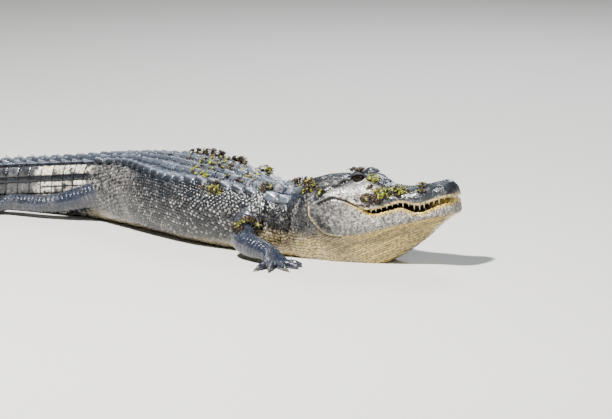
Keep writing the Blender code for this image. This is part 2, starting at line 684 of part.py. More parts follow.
def build_head(draw):
    head = loft("head", [head_ring(back, 11) for back in head_stations()])
    back, side, up = EYE_PLACE
    lids = [ball("lid", (back, side * way, up), EYE_RADIUS + LID_THICKNESS, 12, 8) for way in (1, -1)]
    apply_boolean(head, upper_teeth(draw) + lids, "UNION")
    cuts = []
    for way in (1, -1):
        cuts.append(ball("socket", (back, side * way, up), EYE_RADIUS + 1.5 * GAP, 12, 8))
        opening = (back, (side + EYE_RADIUS * 0.95) * way, up + 0.0005)
        cuts.append(ball("opening", opening, 0.0155, 12, 6, (1.0, 0.75, 0.50)))
        cuts.append(ball("nostril", (0.018, 0.0105 * way, -0.0225), 0.004, 6, 4, (1.5, 0.8, 0.9)))
        cuts.append(ball("ear", (0.297, 0.0615 * way, -0.0125), 0.020, 6, 4, (1.6, 0.22, 0.10)))
    apply_boolean(head, cuts, "DIFFERENCE")
    finish(head, SKIN_COLOUR, 0.45)
    for way, word in ((1, "left"), (-1, "right")):
        eye = ball(f"eye_{word}", (back, side * way, up), EYE_RADIUS, 12, 8)
        finish(eye, (0.02, 0.02, 0.02), 0.1)
    jaw_stations = np.concatenate([[0.005, 0.011, 0.020], np.linspace(0.032, HEAD_LENGTH, 18)])
    jaw = loft("lower_jaw", [jaw_ring(back, 11) for back in jaw_stations])
    apply_boolean(jaw, lower_teeth(draw), "UNION")
    finish(jaw, THROAT_COLOUR, 0.55)


def limb_path(joints, steps=4):
    points = [place(*joint) for joint in joints]
    return smooth_line(points, steps)


def limb_rings(path, sizes, sides):
    """Rings square to a path; sizes are (share of the path, half across, half tall)."""
    lengths = np.concatenate([[0], np.cumsum(np.linalg.norm(np.diff(path, axis=0), axis=1))])
    shares = lengths / lengths[-1]
    across = along([(s, a) for s, a, _ in sizes], shares)
    tall = along([(s, t) for s, _, t in sizes], shares)
    tangents = np.gradient(path, axis=0)
    rings = []
    for k, point in enumerate(path):
        ahead = tangents[k] / np.linalg.norm(tangents[k])
        level = np.cross(ahead, np.array([0, 0, 1.0]))
        level = level / np.linalg.norm(level)
        upward = np.cross(level, ahead)
        turn = 2 * pi * np.arange(sides) / sides
        ring = point + np.outer(np.cos(turn) * across[k], level) + np.outer(np.sin(turn) * tall[k], upward)
        rings.append(ring)
    return rings, tangents / np.linalg.norm(tangents, axis=1)[:, None]


def floor_box():
    size = 2.0
    points = [(x * size, y * size, z) for z in (-0.3, 0.0) for x, y in ((-1, -1), (1, -1), (1, 1), (-1, 1))]
    faces = [(3, 2, 1, 0), (4, 5, 6, 7), (0, 1, 5, 4), (1, 2, 6, 5), (2, 3, 7, 6), (3, 0, 4, 7)]
    return mesh_from("floor", points, faces)


def build_foot(name, wrist_ring, direction, limb, claws):
    """Palm from the wrist's ring, spread toes and claws, cut flat at the floor."""
    centre = np.mean(wrist_ring, axis=0)
    ahead = np.array([direction[0], direction[1], 0.0])
    ahead = ahead / np.linalg.norm(ahead)
    left = np.array([-ahead[1], ahead[0], 0.0])
    across, upward = np.cross(ahead, np.array([0, 0, 1.0])), np.array([0, 0, 1.0])
    turn = 2 * pi * np.arange(len(wrist_ring)) / len(wrist_ring)
    rings = [wrist_ring]
    for share, width, tall, drop in PALM_RINGS:
        middle = centre + ahead * limb["palm"] * share
        middle[2] = centre[2] * (1 - drop) + 0.006 * drop
        rings.append(middle + np.outer(np.cos(turn) * width, across) + np.outer(np.sin(turn) * tall, upward))
    foot = loft(name, rings)
    pieces = []
    base = centre + ahead * limb["palm"] * 0.8
    spread = (max(limb["toes"]) - min(limb["toes"])) / 2
    for k, angle in enumerate(limb["toes"]):
        way = ahead * cos(radians(angle)) + left * sin(radians(angle))
        start = base + left * 0.024 * angle / spread
        length = limb["toe"] * (1 - 0.28 * (abs(angle) / spread) ** 2)
        keys = np.array([start + way * length * t for t in (0.0, 0.4, 0.75, 1.0)])
        keys[:, 2] = TOE_HEIGHTS
        rings, _ = limb_rings(keys, TOE_SIZES, 5)
        pieces.append(loft("toe", rings))
        if k in claws:
            root = keys[-1] - way * 0.006
            tip = keys[-1] + way * 0.020
            tip[2] = 0.001
            pieces.append(cone(tip, root, 0.0042))
    apply_boolean(foot, pieces, "UNION")
    apply_boolean(foot, [floor_box()], "DIFFERENCE")
    finish(foot, SKIN_COLOUR, 0.45)


def build_leg(names, joints, side, limb, claws):
    """One leg as upper part, lower part and foot, meeting face to face at the knee and ankle."""
    placed = [(s, abs(d) * side, z) for s, d, z in joints]
    path = limb_path(placed)
    rings, tangents = limb_rings(path, limb["sizes"], 10)
    knee = len(path) // 2
    upper = loft(names[0], rings[:knee + 1])
    for tool in trims():
        apply_boolean(upper, [tool], "DIFFERENCE")
    shifted = [ring + tangents[knee] * GAP if k == knee else ring for k, ring in enumerate(rings)]
    lower = loft(names[1], shifted[knee:])
    for tool in trims() + [floor_box()]:
        apply_boolean(lower, [tool], "DIFFERENCE")
    finish(upper, SKIN_COLOUR, 0.45)
    finish(lower, SKIN_COLOUR, 0.45)
    wrist = rings[-1] + tangents[-1] * GAP
    turn = radians(limb["turn"] * side)
    x, y = tangents[-1][:2]
    direction = (x * cos(turn) - y * sin(turn), x * sin(turn) + y * cos(turn))
    build_foot(names[2], wrist, direction, limb, claws)


def trims():
    """Neck, trunk and tail root a hair larger, each a little longer, which trim what enters them."""
    lengths = (
        (stations_between(HEAD_LENGTH, NECK_END, 0.018)[4:], 13),
        (stations_between(NECK_END + GAP, TRUNK_END, 0.036), 13),
        (stations_between(TRUNK_END + GAP, TAIL_ENDS[1], 0.034), 11),
    )
    tools = []
    for stations, count in lengths:
        stations = np.concatenate([[stations[0] - 0.002], stations, [stations[-1] + 0.002]])
        tools.append(loft("trim", [body_ring(s, count, GAP * 1.6, -0.02) for s in stations]))
    return tools


def build_legs():
    for side, word in ((1, "left"), (-1, "right")):
        names = [f"foreleg_{word}_upper", f"foreleg_{word}_lower", f"forefoot_{word}"]
        build_leg(names, FORE_JOINTS, side, FORE_LIMB, (0, 1, 2) if side < 0 else (4, 3, 2))
        joints = HIND_FOLDED if side > 0 else HIND_TRAILING
        names = [f"hindleg_{word}_upper", f"hindleg_{word}_lower", f"hindfoot_{word}"]
        build_leg(names, joints, side, HIND_LIMB, (0, 1, 2) if side > 0 else (3, 2, 1))


def main():
    for item in list(bpy.data.objects):
        bpy.data.objects.remove(item)
    draw = np.random.default_rng(SEED)
    build_head(draw)
    build_trunk(draw)
    build_legs()
    for item in bpy.data.objects:
        if item.type == "MESH":
            print(item.name, sum(len(p.vertices) - 2 for p in item.data.polygons), "triangles")


main()
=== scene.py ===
# American alligator, life size, resting on its belly with its head lifted and one hind leg trailing.
from math import cos, pi, radians, sin

import bpy
import numpy as np
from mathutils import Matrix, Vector
from mathutils.bvhtree import BVHTree


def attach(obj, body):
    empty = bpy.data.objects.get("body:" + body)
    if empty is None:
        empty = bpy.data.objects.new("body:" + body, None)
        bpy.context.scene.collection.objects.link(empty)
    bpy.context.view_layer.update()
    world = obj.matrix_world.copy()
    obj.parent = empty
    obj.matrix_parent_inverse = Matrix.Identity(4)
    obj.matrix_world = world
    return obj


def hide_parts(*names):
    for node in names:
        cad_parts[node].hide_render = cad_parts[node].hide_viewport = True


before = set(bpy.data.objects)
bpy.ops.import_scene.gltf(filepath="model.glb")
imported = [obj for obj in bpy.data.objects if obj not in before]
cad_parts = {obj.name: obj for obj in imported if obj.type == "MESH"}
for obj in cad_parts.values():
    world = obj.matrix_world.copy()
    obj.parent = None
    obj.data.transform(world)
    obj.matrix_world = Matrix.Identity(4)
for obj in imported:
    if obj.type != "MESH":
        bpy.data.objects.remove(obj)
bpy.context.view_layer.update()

# A body place is (station, side, height) in metres: the station runs back from the snout tip along the
# backbone, the side is positive to the animal's left. These are the sizes that the solids were built from.
body = {
    "totalLength": 2.45, "originStation": 0.86, "bellySag": 0.006,
    "heading": [  # degrees to the left of +X, at stations
        (0.33, 28.3), (0.45, 14.0), (0.58, 4.9), (0.75, -4.9), (0.95, 1.8), (1.12, 19.9),
        (1.30, 26.0), (1.50, 30.6), (1.80, 27.0), (2.10, 15.0), (2.45, -6.0),
    ],
    "halfWidth": [
        (0.36, 0.086), (0.42, 0.085), (0.50, 0.092), (0.58, 0.110), (0.70, 0.136), (0.85, 0.146),
        (1.00, 0.137), (1.10, 0.113), (1.17, 0.093), (1.25, 0.079), (1.40, 0.064), (1.60, 0.050),
        (1.80, 0.036), (2.00, 0.025), (2.20, 0.015), (2.35, 0.008), (2.45, 0.0035),
    ],
    "topHeight": [
        (0.36, 0.168), (0.42, 0.161), (0.50, 0.171), (0.58, 0.183), (0.70, 0.191), (0.85, 0.193),
        (1.00, 0.183), (1.10, 0.172), (1.17, 0.164), (1.25, 0.153), (1.40, 0.136), (1.60, 0.115),
        (1.80, 0.094), (2.00, 0.073), (2.20, 0.050), (2.35, 0.029), (2.45, 0.010),
    ],
    "widestShare": [(0.36, 0.46), (0.60, 0.42), (1.10, 0.42), (1.30, 0.46), (2.45, 0.46)],
    "upperSquareness": [(0.36, 2.2), (0.60, 2.3), (1.05, 2.3), (1.25, 2.8), (1.90, 2.4), (2.45, 2.0)],
    "lowerSquareness": [(0.36, 2.3), (0.60, 2.7), (1.05, 2.7), (1.30, 2.2), (2.45, 2.0)],
}
head = {
    "skullRear": 0.33, "skullHeight": 0.196, "pitch": radians(6.96), "roll": radians(2.1), "length": 0.345,
    "halfWidth": [
        (0.0, 0.016), (0.004, 0.030), (0.010, 0.041), (0.020, 0.050), (0.040, 0.0565), (0.070, 0.0545),
        (0.100, 0.059), (0.140, 0.065), (0.180, 0.071), (0.220, 0.077), (0.260, 0.085), (0.300, 0.092),
        (0.325, 0.094), (0.345, 0.091),
    ],
    "snoutTop": [
        (0.0, -0.044), (0.004, -0.034), (0.010, -0.0270), (0.025, -0.0230), (0.041, -0.0220),
        (0.056, -0.0235), (0.072, -0.0260), (0.095, -0.0285), (0.120, -0.0300), (0.142, -0.0300),
        (0.160, -0.0285), (0.176, -0.0235), (0.190, -0.0135), (0.210, -0.002), (0.240, 0.001),
        (0.275, -0.001), (0.345, -0.005),
    ],
    "upperLip": [
        (0.0, -0.059), (0.015, -0.0600), (0.038, -0.0645), (0.056, -0.0695), (0.080, -0.0745),
        (0.094, -0.0735), (0.112, -0.0675), (0.128, -0.065), (0.160, -0.071), (0.200, -0.0775),
        (0.216, -0.075), (0.231, -0.068), (0.262, -0.050), (0.294, -0.0415), (0.325, -0.0495),
        (0.345, -0.055),
    ],
    "gape": [
        (0.0, 0.0110), (0.020, 0.0130), (0.050, 0.0150), (0.080, 0.0165), (0.107, 0.0170), (0.123, 0.013),
        (0.150, 0.0105), (0.190, 0.0095), (0.215, 0.005), (0.235, 0.0006), (0.345, 0.0006),
    ],
    "jawBottom": [
        (0.0, -0.097), (0.013, -0.102), (0.033, -0.105), (0.058, -0.108), (0.095, -0.113),
        (0.131, -0.1185), (0.168, -0.124), (0.205, -0.131), (0.242, -0.1375), (0.278, -0.137),
        (0.301, -0.134), (0.325, -0.127), (0.345, -0.118),
    ],
    "throat": [
        (0.0, -0.099), (0.013, -0.106), (0.034, -0.116), (0.062, -0.134), (0.084, -0.151),
        (0.112, -0.169), (0.136, -0.183), (0.162, -0.197), (0.200, -0.212), (0.240, -0.225),
        (0.345, -0.225),
    ],
    "squareness": [(0.0, 2.4), (0.10, 2.6), (0.20, 2.4), (0.30, 2.1), (0.345, 2.1)],
    "earLine": [(0.260, -0.001), (0.275, -0.005), (0.304, -0.019), (0.330, -0.034)],
    "jawEdge": [
        (0.358, -0.058), (0.360, -0.079), (0.352, -0.097), (0.339, -0.114), (0.326, -0.1256),
        (0.309, -0.1323), (0.282, -0.1360),
    ],
    "browRise": 0.026, "tableHeight": 0.0085, "tableHalfWidth": 0.051,
}
eye = {"back": 0.238, "side": 0.0405, "up": 0.0, "radius": 0.0165, "ahead": 0.0012}
armour = {
    "firstRow": 0.520, "rowSpacing": 0.037, "rows": 18, "wideFrom": 0.62, "wideTo": 1.01,
    "whorlSpacing": 0.037, "doubleWhorls": 20, "singleWhorls": 13, "pairedPlates": 12,
    "reach": [  # from the middle of the back to the middle of the outermost plate, at stations
        (0.50, 0.060), (0.58, 0.074), (0.66, 0.088), (0.74, 0.102), (0.82, 0.108), (0.90, 0.101),
        (0.98, 0.086), (1.06, 0.066), (1.15, 0.055),
    ],
}
neckEnd = armour["firstRow"] - 0.5 * armour["rowSpacing"]
trunkEnd = neckEnd + armour["rowSpacing"] * armour["rows"]


def along(table, where):  # smooth value at a place through (place, value) pairs, without overshoot
    px, py = np.array(table, dtype=float).T
    where = np.clip(np.asarray(where, dtype=float), px[0], px[-1])
    step = np.diff(px)
    slope = np.diff(py) / step
    tangent = np.zeros_like(py)
    same = slope[:-1] * slope[1:] > 0
    pair = slope[:-1][same], slope[1:][same]
    tangent[1:-1][same] = 2 * pair[0] * pair[1] / (pair[0] + pair[1])
    tangent[0], tangent[-1] = slope[0], slope[-1]
    i = np.clip(np.searchsorted(px, where, side="right") - 1, 0, len(step) - 1)
    t = (where - px[i]) / step[i]
    rise = py[i] * (2 * t**3 - 3 * t**2 + 1) + py[i + 1] * (3 * t**2 - 2 * t**3)
    bend = tangent[i] * (t**3 - 2 * t**2 + t) + tangent[i + 1] * (t**3 - t**2)
    return rise + step[i] * bend


def ease(low, high, x):  # smooth step from 0 at low to 1 at high
    t = np.clip((np.asarray(x, dtype=float) - low) / (high - low), 0, 1)
    return t * t * (3 - 2 * t)


def bump(x, centre, width):  # rounded hump of height 1
    return np.exp(-(((x - centre) / width) ** 2))


def lineGap(u, v, points):  # distance from places in a plane to a line through points
    gap = np.full(np.shape(u), 1.0)
    for (u1, v1), (u2, v2) in zip(points, points[1:]):
        t = np.clip(((u - u1) * (u2 - u1) + (v - v1) * (v2 - v1)) / ((u2 - u1) ** 2 + (v2 - v1) ** 2), 0, 1)
        gap = np.minimum(gap, np.hypot(u - u1 - t * (u2 - u1), v - v1 - t * (v2 - v1)))
    return gap


def makeBackbone(step=0.0025):
    stations = np.arange(0.0, body["totalLength"] + step, step)
    places, degrees = np.array(body["heading"]).T
    heading = np.radians(np.interp(stations, places, degrees))
    dx, dy = -np.cos(heading) * step, -np.sin(heading) * step
    x = np.concatenate([[0], np.cumsum((dx[1:] + dx[:-1]) / 2)])
    y = np.concatenate([[0], np.cumsum((dy[1:] + dy[:-1]) / 2)])
    x -= np.interp(body["originStation"], stations, x)
    y -= np.interp(body["originStation"], stations, y)
    return stations, x, y, heading


backbone = makeBackbone()


def place(station, side, height):  # world points for body places
    stations, xs, ys, headings = backbone
    station = np.asarray(station, dtype=float)
    inside = np.clip(station, stations[0], stations[-1])
    heading = np.interp(inside, stations, headings)
    over = station - inside
    x = np.interp(inside, stations, xs) - over * np.cos(heading) - side * np.sin(heading)
    y = np.interp(inside, stations, ys) - over * np.sin(heading) + side * np.cos(heading)
    return np.stack([x, y, np.broadcast_to(height, x.shape)], axis=-1)


headOrigin = place(head["skullRear"], 0.0, 0.0)
headHeading = radians(body["heading"][0][1])


def headPlace(back, side, up):  # world points for head points: back from the snout tip, side, up
    side = np.asarray(side, dtype=float)
    tilted = up - side * sin(head["roll"])
    ahead = head["skullRear"] - np.asarray(back, dtype=float)
    height = head["skullHeight"] + tilted * cos(head["pitch"]) + ahead * sin(head["pitch"])
    forward = ahead * cos(head["pitch"]) - tilted * sin(head["pitch"])
    level = side * cos(head["roll"])
    x = headOrigin[0] + forward * cos(headHeading) - level * sin(headHeading)
    y = headOrigin[1] + forward * sin(headHeading) + level * cos(headHeading)
    return np.stack([x, y, np.broadcast_to(height, x.shape)], axis=-1)


def headCoords(points):  # the reverse of headPlace
    dx, dy = points[:, 0] - headOrigin[0], points[:, 1] - headOrigin[1]
    forward = dx * cos(headHeading) + dy * sin(headHeading)
    level = -dx * sin(headHeading) + dy * cos(headHeading)
    rise = points[:, 2] - head["skullHeight"]
    ahead = forward * cos(head["pitch"]) + rise * sin(head["pitch"])
    tilted = rise * cos(head["pitch"]) - forward * sin(head["pitch"])
    side = level / cos(head["roll"])
    return head["skullRear"] - ahead, side, tilted + side * sin(head["roll"])


def aboveFloor(back, side, up):  # head heights kept at or above the floor in the head's own cross plane
    ahead = head["skullRear"] - back
    floor = -(head["skullHeight"] + ahead * sin(head["pitch"])) / cos(head["pitch"])
    return np.maximum(up, floor + side * sin(head["roll"]))


def resample(points, count):  # evenly spaced points along a half outline
    lengths = np.concatenate([[0], np.cumsum(np.linalg.norm(np.diff(points, axis=0), axis=1))])
    wanted = np.linspace(0, lengths[-1], count)
    return np.stack([np.interp(wanted, lengths, points[:, k]) for k in range(2)], axis=1)


def mirrored(half):
    return np.concatenate([half, half[-2:0:-1] * np.array([-1, 1])])


def smoothLine(keys, perSpan):  # curve through key points of any dimension
    keys = np.asarray(keys, dtype=float)
    padded = np.concatenate([[2 * keys[0] - keys[1]], keys, [2 * keys[-1] - keys[-2]]])
    t = np.linspace(0, 1, perSpan, endpoint=False).reshape((-1,) + (1,) * (keys.ndim - 1))
    spans = []
    for i in range(1, len(keys)):
        a, b, c, d = padded[i - 1:i + 3]
        bend = (2 * a - 5 * b + 4 * c - d) * t**2 + (3 * b - a - 3 * c + d) * t**3
        spans.append(0.5 * (2 * b + (c - a) * t + bend))
    return np.concatenate(spans + [keys[-1:]])


def bodyHalf(station):
    halfWidth = float(along(body["halfWidth"], station))
    top = float(along(body["topHeight"], station))
    widest = top * float(along(body["widestShare"], station))
    turn = np.linspace(0, pi, 121)
    upper = turn <= pi / 2
    above, below = (float(along(body[part + "Squareness"], station)) for part in ("upper", "lower"))
    power = 2 / np.where(upper, above, below)
    side = halfWidth * np.abs(np.sin(turn)) ** power
    lift = np.abs(np.cos(turn)) ** power
    height = np.where(upper, widest + (top - widest) * lift, widest - (widest + body["bellySag"]) * lift)
    return np.stack([side, np.maximum(height, 0)], axis=1)


def bodyRing(station, count):
    ring = mirrored(resample(bodyHalf(station), count))
    return place(np.full(len(ring), station), ring[:, 0], ring[:, 1])


def skullRise(back, side):  # brow mounds, snout ridges and nostril mound
    side = np.abs(side)
    brow = head["browRise"] * np.exp(-(((back - 0.238) / 0.027) ** 2) - ((side - 0.040) / 0.0165) ** 2)
    ridgeLine = np.interp(back, [0.13, 0.21], [0.020, 0.036])
    ridge = 0.005 * ease(0.12, 0.17, back) * (1 - ease(0.20, 0.225, back)) * bump(side, ridgeLine, 0.008)
    nostril = 0.004 * bump(back, 0.024, 0.013) * bump(side, 0.010, 0.010)
    return brow + ridge + nostril


def skullHalf(back):
    halfWidth = float(along(head["halfWidth"], back))
    lip = float(along(head["upperLip"], back))
    top = float(along(head["snoutTop"], back))
    power = 2 / float(along(head["squareness"], back))
    turn = np.linspace(0, pi / 2, 81)
    side = halfWidth * np.sin(turn) ** power
    up = lip + (top - lip) * np.cos(turn) ** power
    up = up + skullRise(back, side) * np.cos(turn) ** 0.35
    edge = 1 - ease(head["tableHalfWidth"] - 0.005, head["tableHalfWidth"] + 0.003, side)
    edge = edge * float(ease(0.258, 0.278, back))
    return np.stack([side, up + (np.maximum(up, head["tableHeight"]) - up) * edge], axis=1)


def jawHalf(back):
    halfWidth = float(along(head["halfWidth"], back))
    lip = float(along(head["upperLip"], back)) - float(along(head["gape"], back))
    inset = 0.006 * (1 - float(ease(0.21, 0.25, back)))
    jaw = float(along(head["jawBottom"], back))
    throat = min(float(along(head["throat"], back)), jaw - 0.002)
    sag = jaw - throat
    return smoothLine(np.array([
        (halfWidth - inset, lip), (halfWidth - 0.5 * inset, 0.6 * lip + 0.4 * jaw),
        (0.955 * halfWidth, jaw + 0.22 * (lip - jaw)), (0.86 * halfWidth, jaw + 0.02 * (lip - jaw)),
        (0.74 * halfWidth, jaw - 0.16 * sag), (0.65 * halfWidth, jaw - 0.50 * sag),
        (0.55 * halfWidth, jaw - 0.85 * sag), (0.35 * halfWidth, throat), (0.0, throat),
    ]), 9)


def headRing(back, count):
    halfWidth = float(along(head["halfWidth"], back))
    lip = float(along(head["upperLip"], back))
    arch = 0.003 * float(ease(0.0, 0.03, back) * (1 - ease(0.20, 0.24, back)))
    under = np.array([(halfWidth * k, lip + arch * min(1, (1 - k) * 5)) for k in (0.93, 0.80, 0.45, 0.0)])
    ring = mirrored(np.concatenate([resample(skullHalf(back), count), under]))
    return headPlace(np.full(len(ring), back), ring[:, 0], ring[:, 1])


def jawRing(back, count):
    halfWidth = float(along(head["halfWidth"], back))
    lip = float(along(head["upperLip"], back)) - float(along(head["gape"], back))
    dish = 0.007 * float(ease(0.005, 0.03, back) * (1 - ease(0.19, 0.23, back)))
    risen = ease(0.0, 0.003, back) * (1 - ease(0.21, 0.23, back))
    tongue = lip + float((along(head["gape"], back) + 0.005) * risen)  # meets the palate and fills the gape
    floor = np.array([(0.0, tongue), (0.30 * halfWidth, tongue), (0.62 * halfWidth, lip - dish)])
    ring = mirrored(np.concatenate([floor, resample(jawHalf(back), count)]))
    return headPlace(np.full(len(ring), back), ring[:, 0], aboveFloor(back, ring[:, 0], ring[:, 1]))


def neckRing(station, count):  # turns from the head's whole outline into the neck's
    length = head["length"]
    rear = mirrored(resample(np.concatenate([skullHalf(length), jawHalf(length)[1:]]), count))
    start = headPlace(np.full(len(rear), length), rear[:, 0], aboveFloor(length, rear[:, 0], rear[:, 1]))
    start = start + place(station, 0.0, 0.0) - place(length, 0.0, 0.0)
    blend = float(ease(length, length + 0.075, station))
    points = (1 - blend) * start + blend * bodyRing(station, count)
    points[:, 2] = np.maximum(points[:, 2], 0)
    return points


def anyRing(station, count):
    return neckRing(station, count) if station < neckEnd else bodyRing(station, count)


# Mesh helpers
def tube(rings):  # closed tube through rings of equal length, its ends closed by fans
    count = len(rings[0])
    points = np.concatenate([np.asarray(ring) for ring in rings]
                            + [[np.mean(rings[0], axis=0)], [np.mean(rings[-1], axis=0)]])
    faces = []
    for r in range(len(rings) - 1):
        for k in range(count):
            a, b = r * count + k, r * count + (k + 1) % count
            faces.append((a, b, b + count, a + count))
    last = (len(rings) - 1) * count
    for k in range(count):
        following = (k + 1) % count
        faces.append((following, k, len(points) - 2))
        faces.append((last + k, last + following, len(points) - 1))
    return points, faces


def gather(parts):  # many (points, faces) pairs as one
    points, faces, start = [], [], 0
    for some, their in parts:
        points.append(np.asarray(some))
        faces += [tuple(int(i) + start for i in face) for face in their]
        start += len(some)
    return np.concatenate(points), faces


def makeObject(name, points, faces):
    mesh = bpy.data.meshes.new(name)
    mesh.from_pydata(np.asarray(points, dtype=float).tolist(), [], faces)
    mesh.shade_smooth()
    item = bpy.data.objects.new(name, mesh)
    bpy.context.scene.collection.objects.link(item)
    return item


def getCoords(mesh, what="co"):
    values = np.empty(len(mesh.vertices) * 3, dtype=np.float32)
    mesh.vertices.foreach_get(what, values)
    return values.reshape(-1, 3).astype(float)


def setCoords(mesh, points):
    mesh.vertices.foreach_set("co", np.asarray(points, dtype=np.float32).ravel())
    mesh.update()


def addMark(mesh, name, values):
    mark = mesh.attributes.new(name, "FLOAT", "POINT")
    mark.data.foreach_set("value", np.asarray(values, dtype=np.float32))


def addMap(mesh, uv):  # the unwrap, from one place for each point
    corners = np.empty(len(mesh.loops), dtype=np.int32)
    mesh.loops.foreach_get("vertex_index", corners)
    layer = mesh.uv_layers.new(name="OFBake")
    layer.data.foreach_set("uv", uv[corners].astype(np.float32).ravel())


def surfaceTree(mesh, points):  # for rays onto a mesh
    return BVHTree.FromPolygons(points.tolist(), [tuple(face.vertices) for face in mesh.polygons])


def smoothen(mesh, points, rounds, weight=1.0):  # smooths without shrinking
    edges = np.empty(len(mesh.edges) * 2, dtype=np.int32)
    mesh.edges.foreach_get("vertices", edges)
    a, b = edges.reshape(-1, 2).T
    count = len(points)
    degree = np.maximum(np.bincount(a, minlength=count) + np.bincount(b, minlength=count), 1)
    for _ in range(rounds):
        for factor in (0.55, -0.57):
            mean = np.empty_like(points)
            for k in range(3):
                total = np.bincount(a, points[b, k], count) + np.bincount(b, points[a, k], count)
                mean[:, k] = total / degree
            points = points + (mean - points) * factor * (weight if np.isscalar(weight) else weight[:, None])
    return points


# Legs: joints as body places, limb sizes as (share, half across, half tall), toe angles in degrees
foreSizes = [(0.0, 0.034, 0.038), (0.42, 0.029, 0.031), (0.52, 0.028, 0.030), (0.7, 0.027, 0.028),
             (1.0, 0.021, 0.020)]
hindSizes = [(0.0, 0.038, 0.046), (0.22, 0.031, 0.034), (0.42, 0.0255, 0.0265), (0.62, 0.0225, 0.0235),
             (1.0, 0.020, 0.0205)]
foreLeg = {
    "joints": ((0.515, 0.062, 0.095), (0.490, 0.130, 0.046), (0.398, 0.172, 0.028)), "sizes": foreSizes,
    "toes": (-58, -30, 0, 28, 54), "palm": 0.042, "toe": 0.058, "web": 0.30,
}
hindLeg = {"sizes": hindSizes, "toes": (-34, -12, 12, 34), "palm": 0.065, "toe": 0.085, "web": 0.62}
legs = {
    "foreleg_left": {**foreLeg, "side": 1, "claws": (4, 3, 2), "heading": 10},
    "foreleg_right": {**foreLeg, "side": -1, "claws": (0, 1, 2), "heading": -10},
    "hindleg_left": {**hindLeg, "side": 1, "claws": (0, 1, 2), "heading": -8,
                     "joints": ((1.095, 0.066, 0.080), (1.030, 0.185, 0.058), (1.150, 0.205, 0.036))},
    "hindleg_right": {**hindLeg, "side": -1, "claws": (3, 2, 1), "heading": 8,
                      "joints": ((1.095, 0.070, 0.086), (1.262, 0.110, 0.043), (1.412, 0.104, 0.035))},
}
palmSteps = (  # share of the palm's length, half width, half thickness, how far it has dropped to the floor
    (0.45, 0.028, 0.018, 0.45), (0.8, 0.036, 0.013, 0.8), (1.0, 0.034, 0.009, 1.0), (1.10, 0.026, 0.005, 1.0),
)
toeSizes = [(0, 0.0085, 0.009), (0.6, 0.0070, 0.0075), (0.93, 0.0052, 0.0056), (1, 0.0030, 0.0034)]


def limbRings(path, sizes, sides, knuckles=0.0):
    lengths = np.concatenate([[0], np.cumsum(np.linalg.norm(np.diff(path, axis=0), axis=1))])
    shares = lengths / lengths[-1]
    swell = 1 + knuckles * np.cos(2 * pi * shares * 3)
    across = along([(s, a) for s, a, _ in sizes], shares) * swell
    tall = along([(s, t) for s, _, t in sizes], shares) * swell
    tangents = np.gradient(path, axis=0)
    rings = []
    for k, point in enumerate(path):
        ahead = tangents[k] / np.linalg.norm(tangents[k])
        level = np.cross(ahead, (0, 0, 1.0))
        level = level / np.linalg.norm(level)
        upward = np.cross(level, ahead)
        turn = 2 * pi * np.arange(sides) / sides
        ring = point + np.outer(np.cos(turn) * across[k], level) + np.outer(np.sin(turn) * tall[k], upward)
        ring[:, 2] = np.maximum(ring[:, 2], 0)
        rings.append(ring)
    return rings


def legParts(leg):  # closed meshes of one leg, its bones for the scale pattern, and its toe ends
    joints = [place(s, abs(d) * leg["side"], z) for s, d, z in leg["joints"]]
    path, coarse = smoothLine(joints, 14), smoothLine(joints, 4)
    sides = 36
    rings = limbRings(path, leg["sizes"], sides)
    parts = [tube(rings)]
    bones = [{"path": path, "radius": 0.026, "kind": "leg"}]
    ahead = coarse[-1] - coarse[-2]
    turn = radians(leg["heading"])
    x, y = ahead[:2]
    ahead = np.array([x * cos(turn) - y * sin(turn), x * sin(turn) + y * cos(turn), 0])
    ahead = ahead / np.linalg.norm(ahead)
    left = np.array([-ahead[1], ahead[0], 0.0])
    centre = path[-1]
    around = 2 * pi * np.arange(sides) / sides
    palmRings = [rings[-4], rings[-1]]
    for share, width, tall, drop in palmSteps:
        middle = centre + ahead * leg["palm"] * share
        middle[2] = centre[2] * (1 - drop) + 0.006 * drop
        ring = middle + np.outer(np.cos(around) * width, np.cross(ahead, (0, 0, 1.0)))
        palmRings.append(ring + np.outer(np.sin(around) * tall, (0, 0, 1.0)))
    palmRings = smoothLine(np.array(palmRings), 5)
    palmRings[:, :, 2] = np.maximum(palmRings[:, :, 2], 0)
    parts.append(tube(list(palmRings)))
    palmEnd = centre + ahead * leg["palm"]
    palmEnd[2] = 0.008
    palmPath = np.array([centre, (centre + palmEnd) / 2, palmEnd])
    bones.append({"path": palmPath, "radius": 0.026, "kind": "palm"})
    base = centre + ahead * leg["palm"] * 0.8
    spread = (max(leg["toes"]) - min(leg["toes"])) / 2
    toeKeys, tips = [], []
    for k, angle in enumerate(leg["toes"]):
        way = ahead * cos(radians(angle)) + left * sin(radians(angle))
        start = base + left * 0.024 * angle / spread
        length = leg["toe"] * (1 - 0.28 * (abs(angle) / spread) ** 2)
        keys = np.array([start + way * length * t for t in (0.0, 0.4, 0.75, 1.0)])
        keys[:, 2] = (0.008, 0.010, 0.007, 0.005)
        toePath = smoothLine(keys, 8)
        parts.append(tube(limbRings(toePath, toeSizes, 18, 0.07)))
        bones.append({"path": toePath, "radius": 0.007, "kind": "toe"})
        toeKeys.append(keys)
        if k in leg["claws"]:
            tips.append((keys[-1] - way * 0.007, keys[-1] + way * 0.020))
    for one, two in zip(toeKeys, toeKeys[1:]):  # webs between the toes, curved in at the free edge
        edge = []
        for t in np.linspace(0, 1, 9):
            reach = leg["web"] * (1 - 0.30 * (1 - (2 * t - 1) ** 2))
            near, far = (keys[0] + (keys[-1] - keys[0]) * reach for keys in (one, two))
            edge.append((1 - t) * near + t * far)
        edge = np.array(edge)
        inner = np.linspace(one[0], two[0], 9)
        for line, height in ((edge, 0.0055), (inner, 0.009)):
            line[:, 2] = height
        under = [np.column_stack([line[:, :2], np.full(9, 0.0)]) for line in (inner, edge)]
        parts.append(tube(np.stack([inner, edge, under[1], under[0]], axis=1)))
    return parts, bones, tips


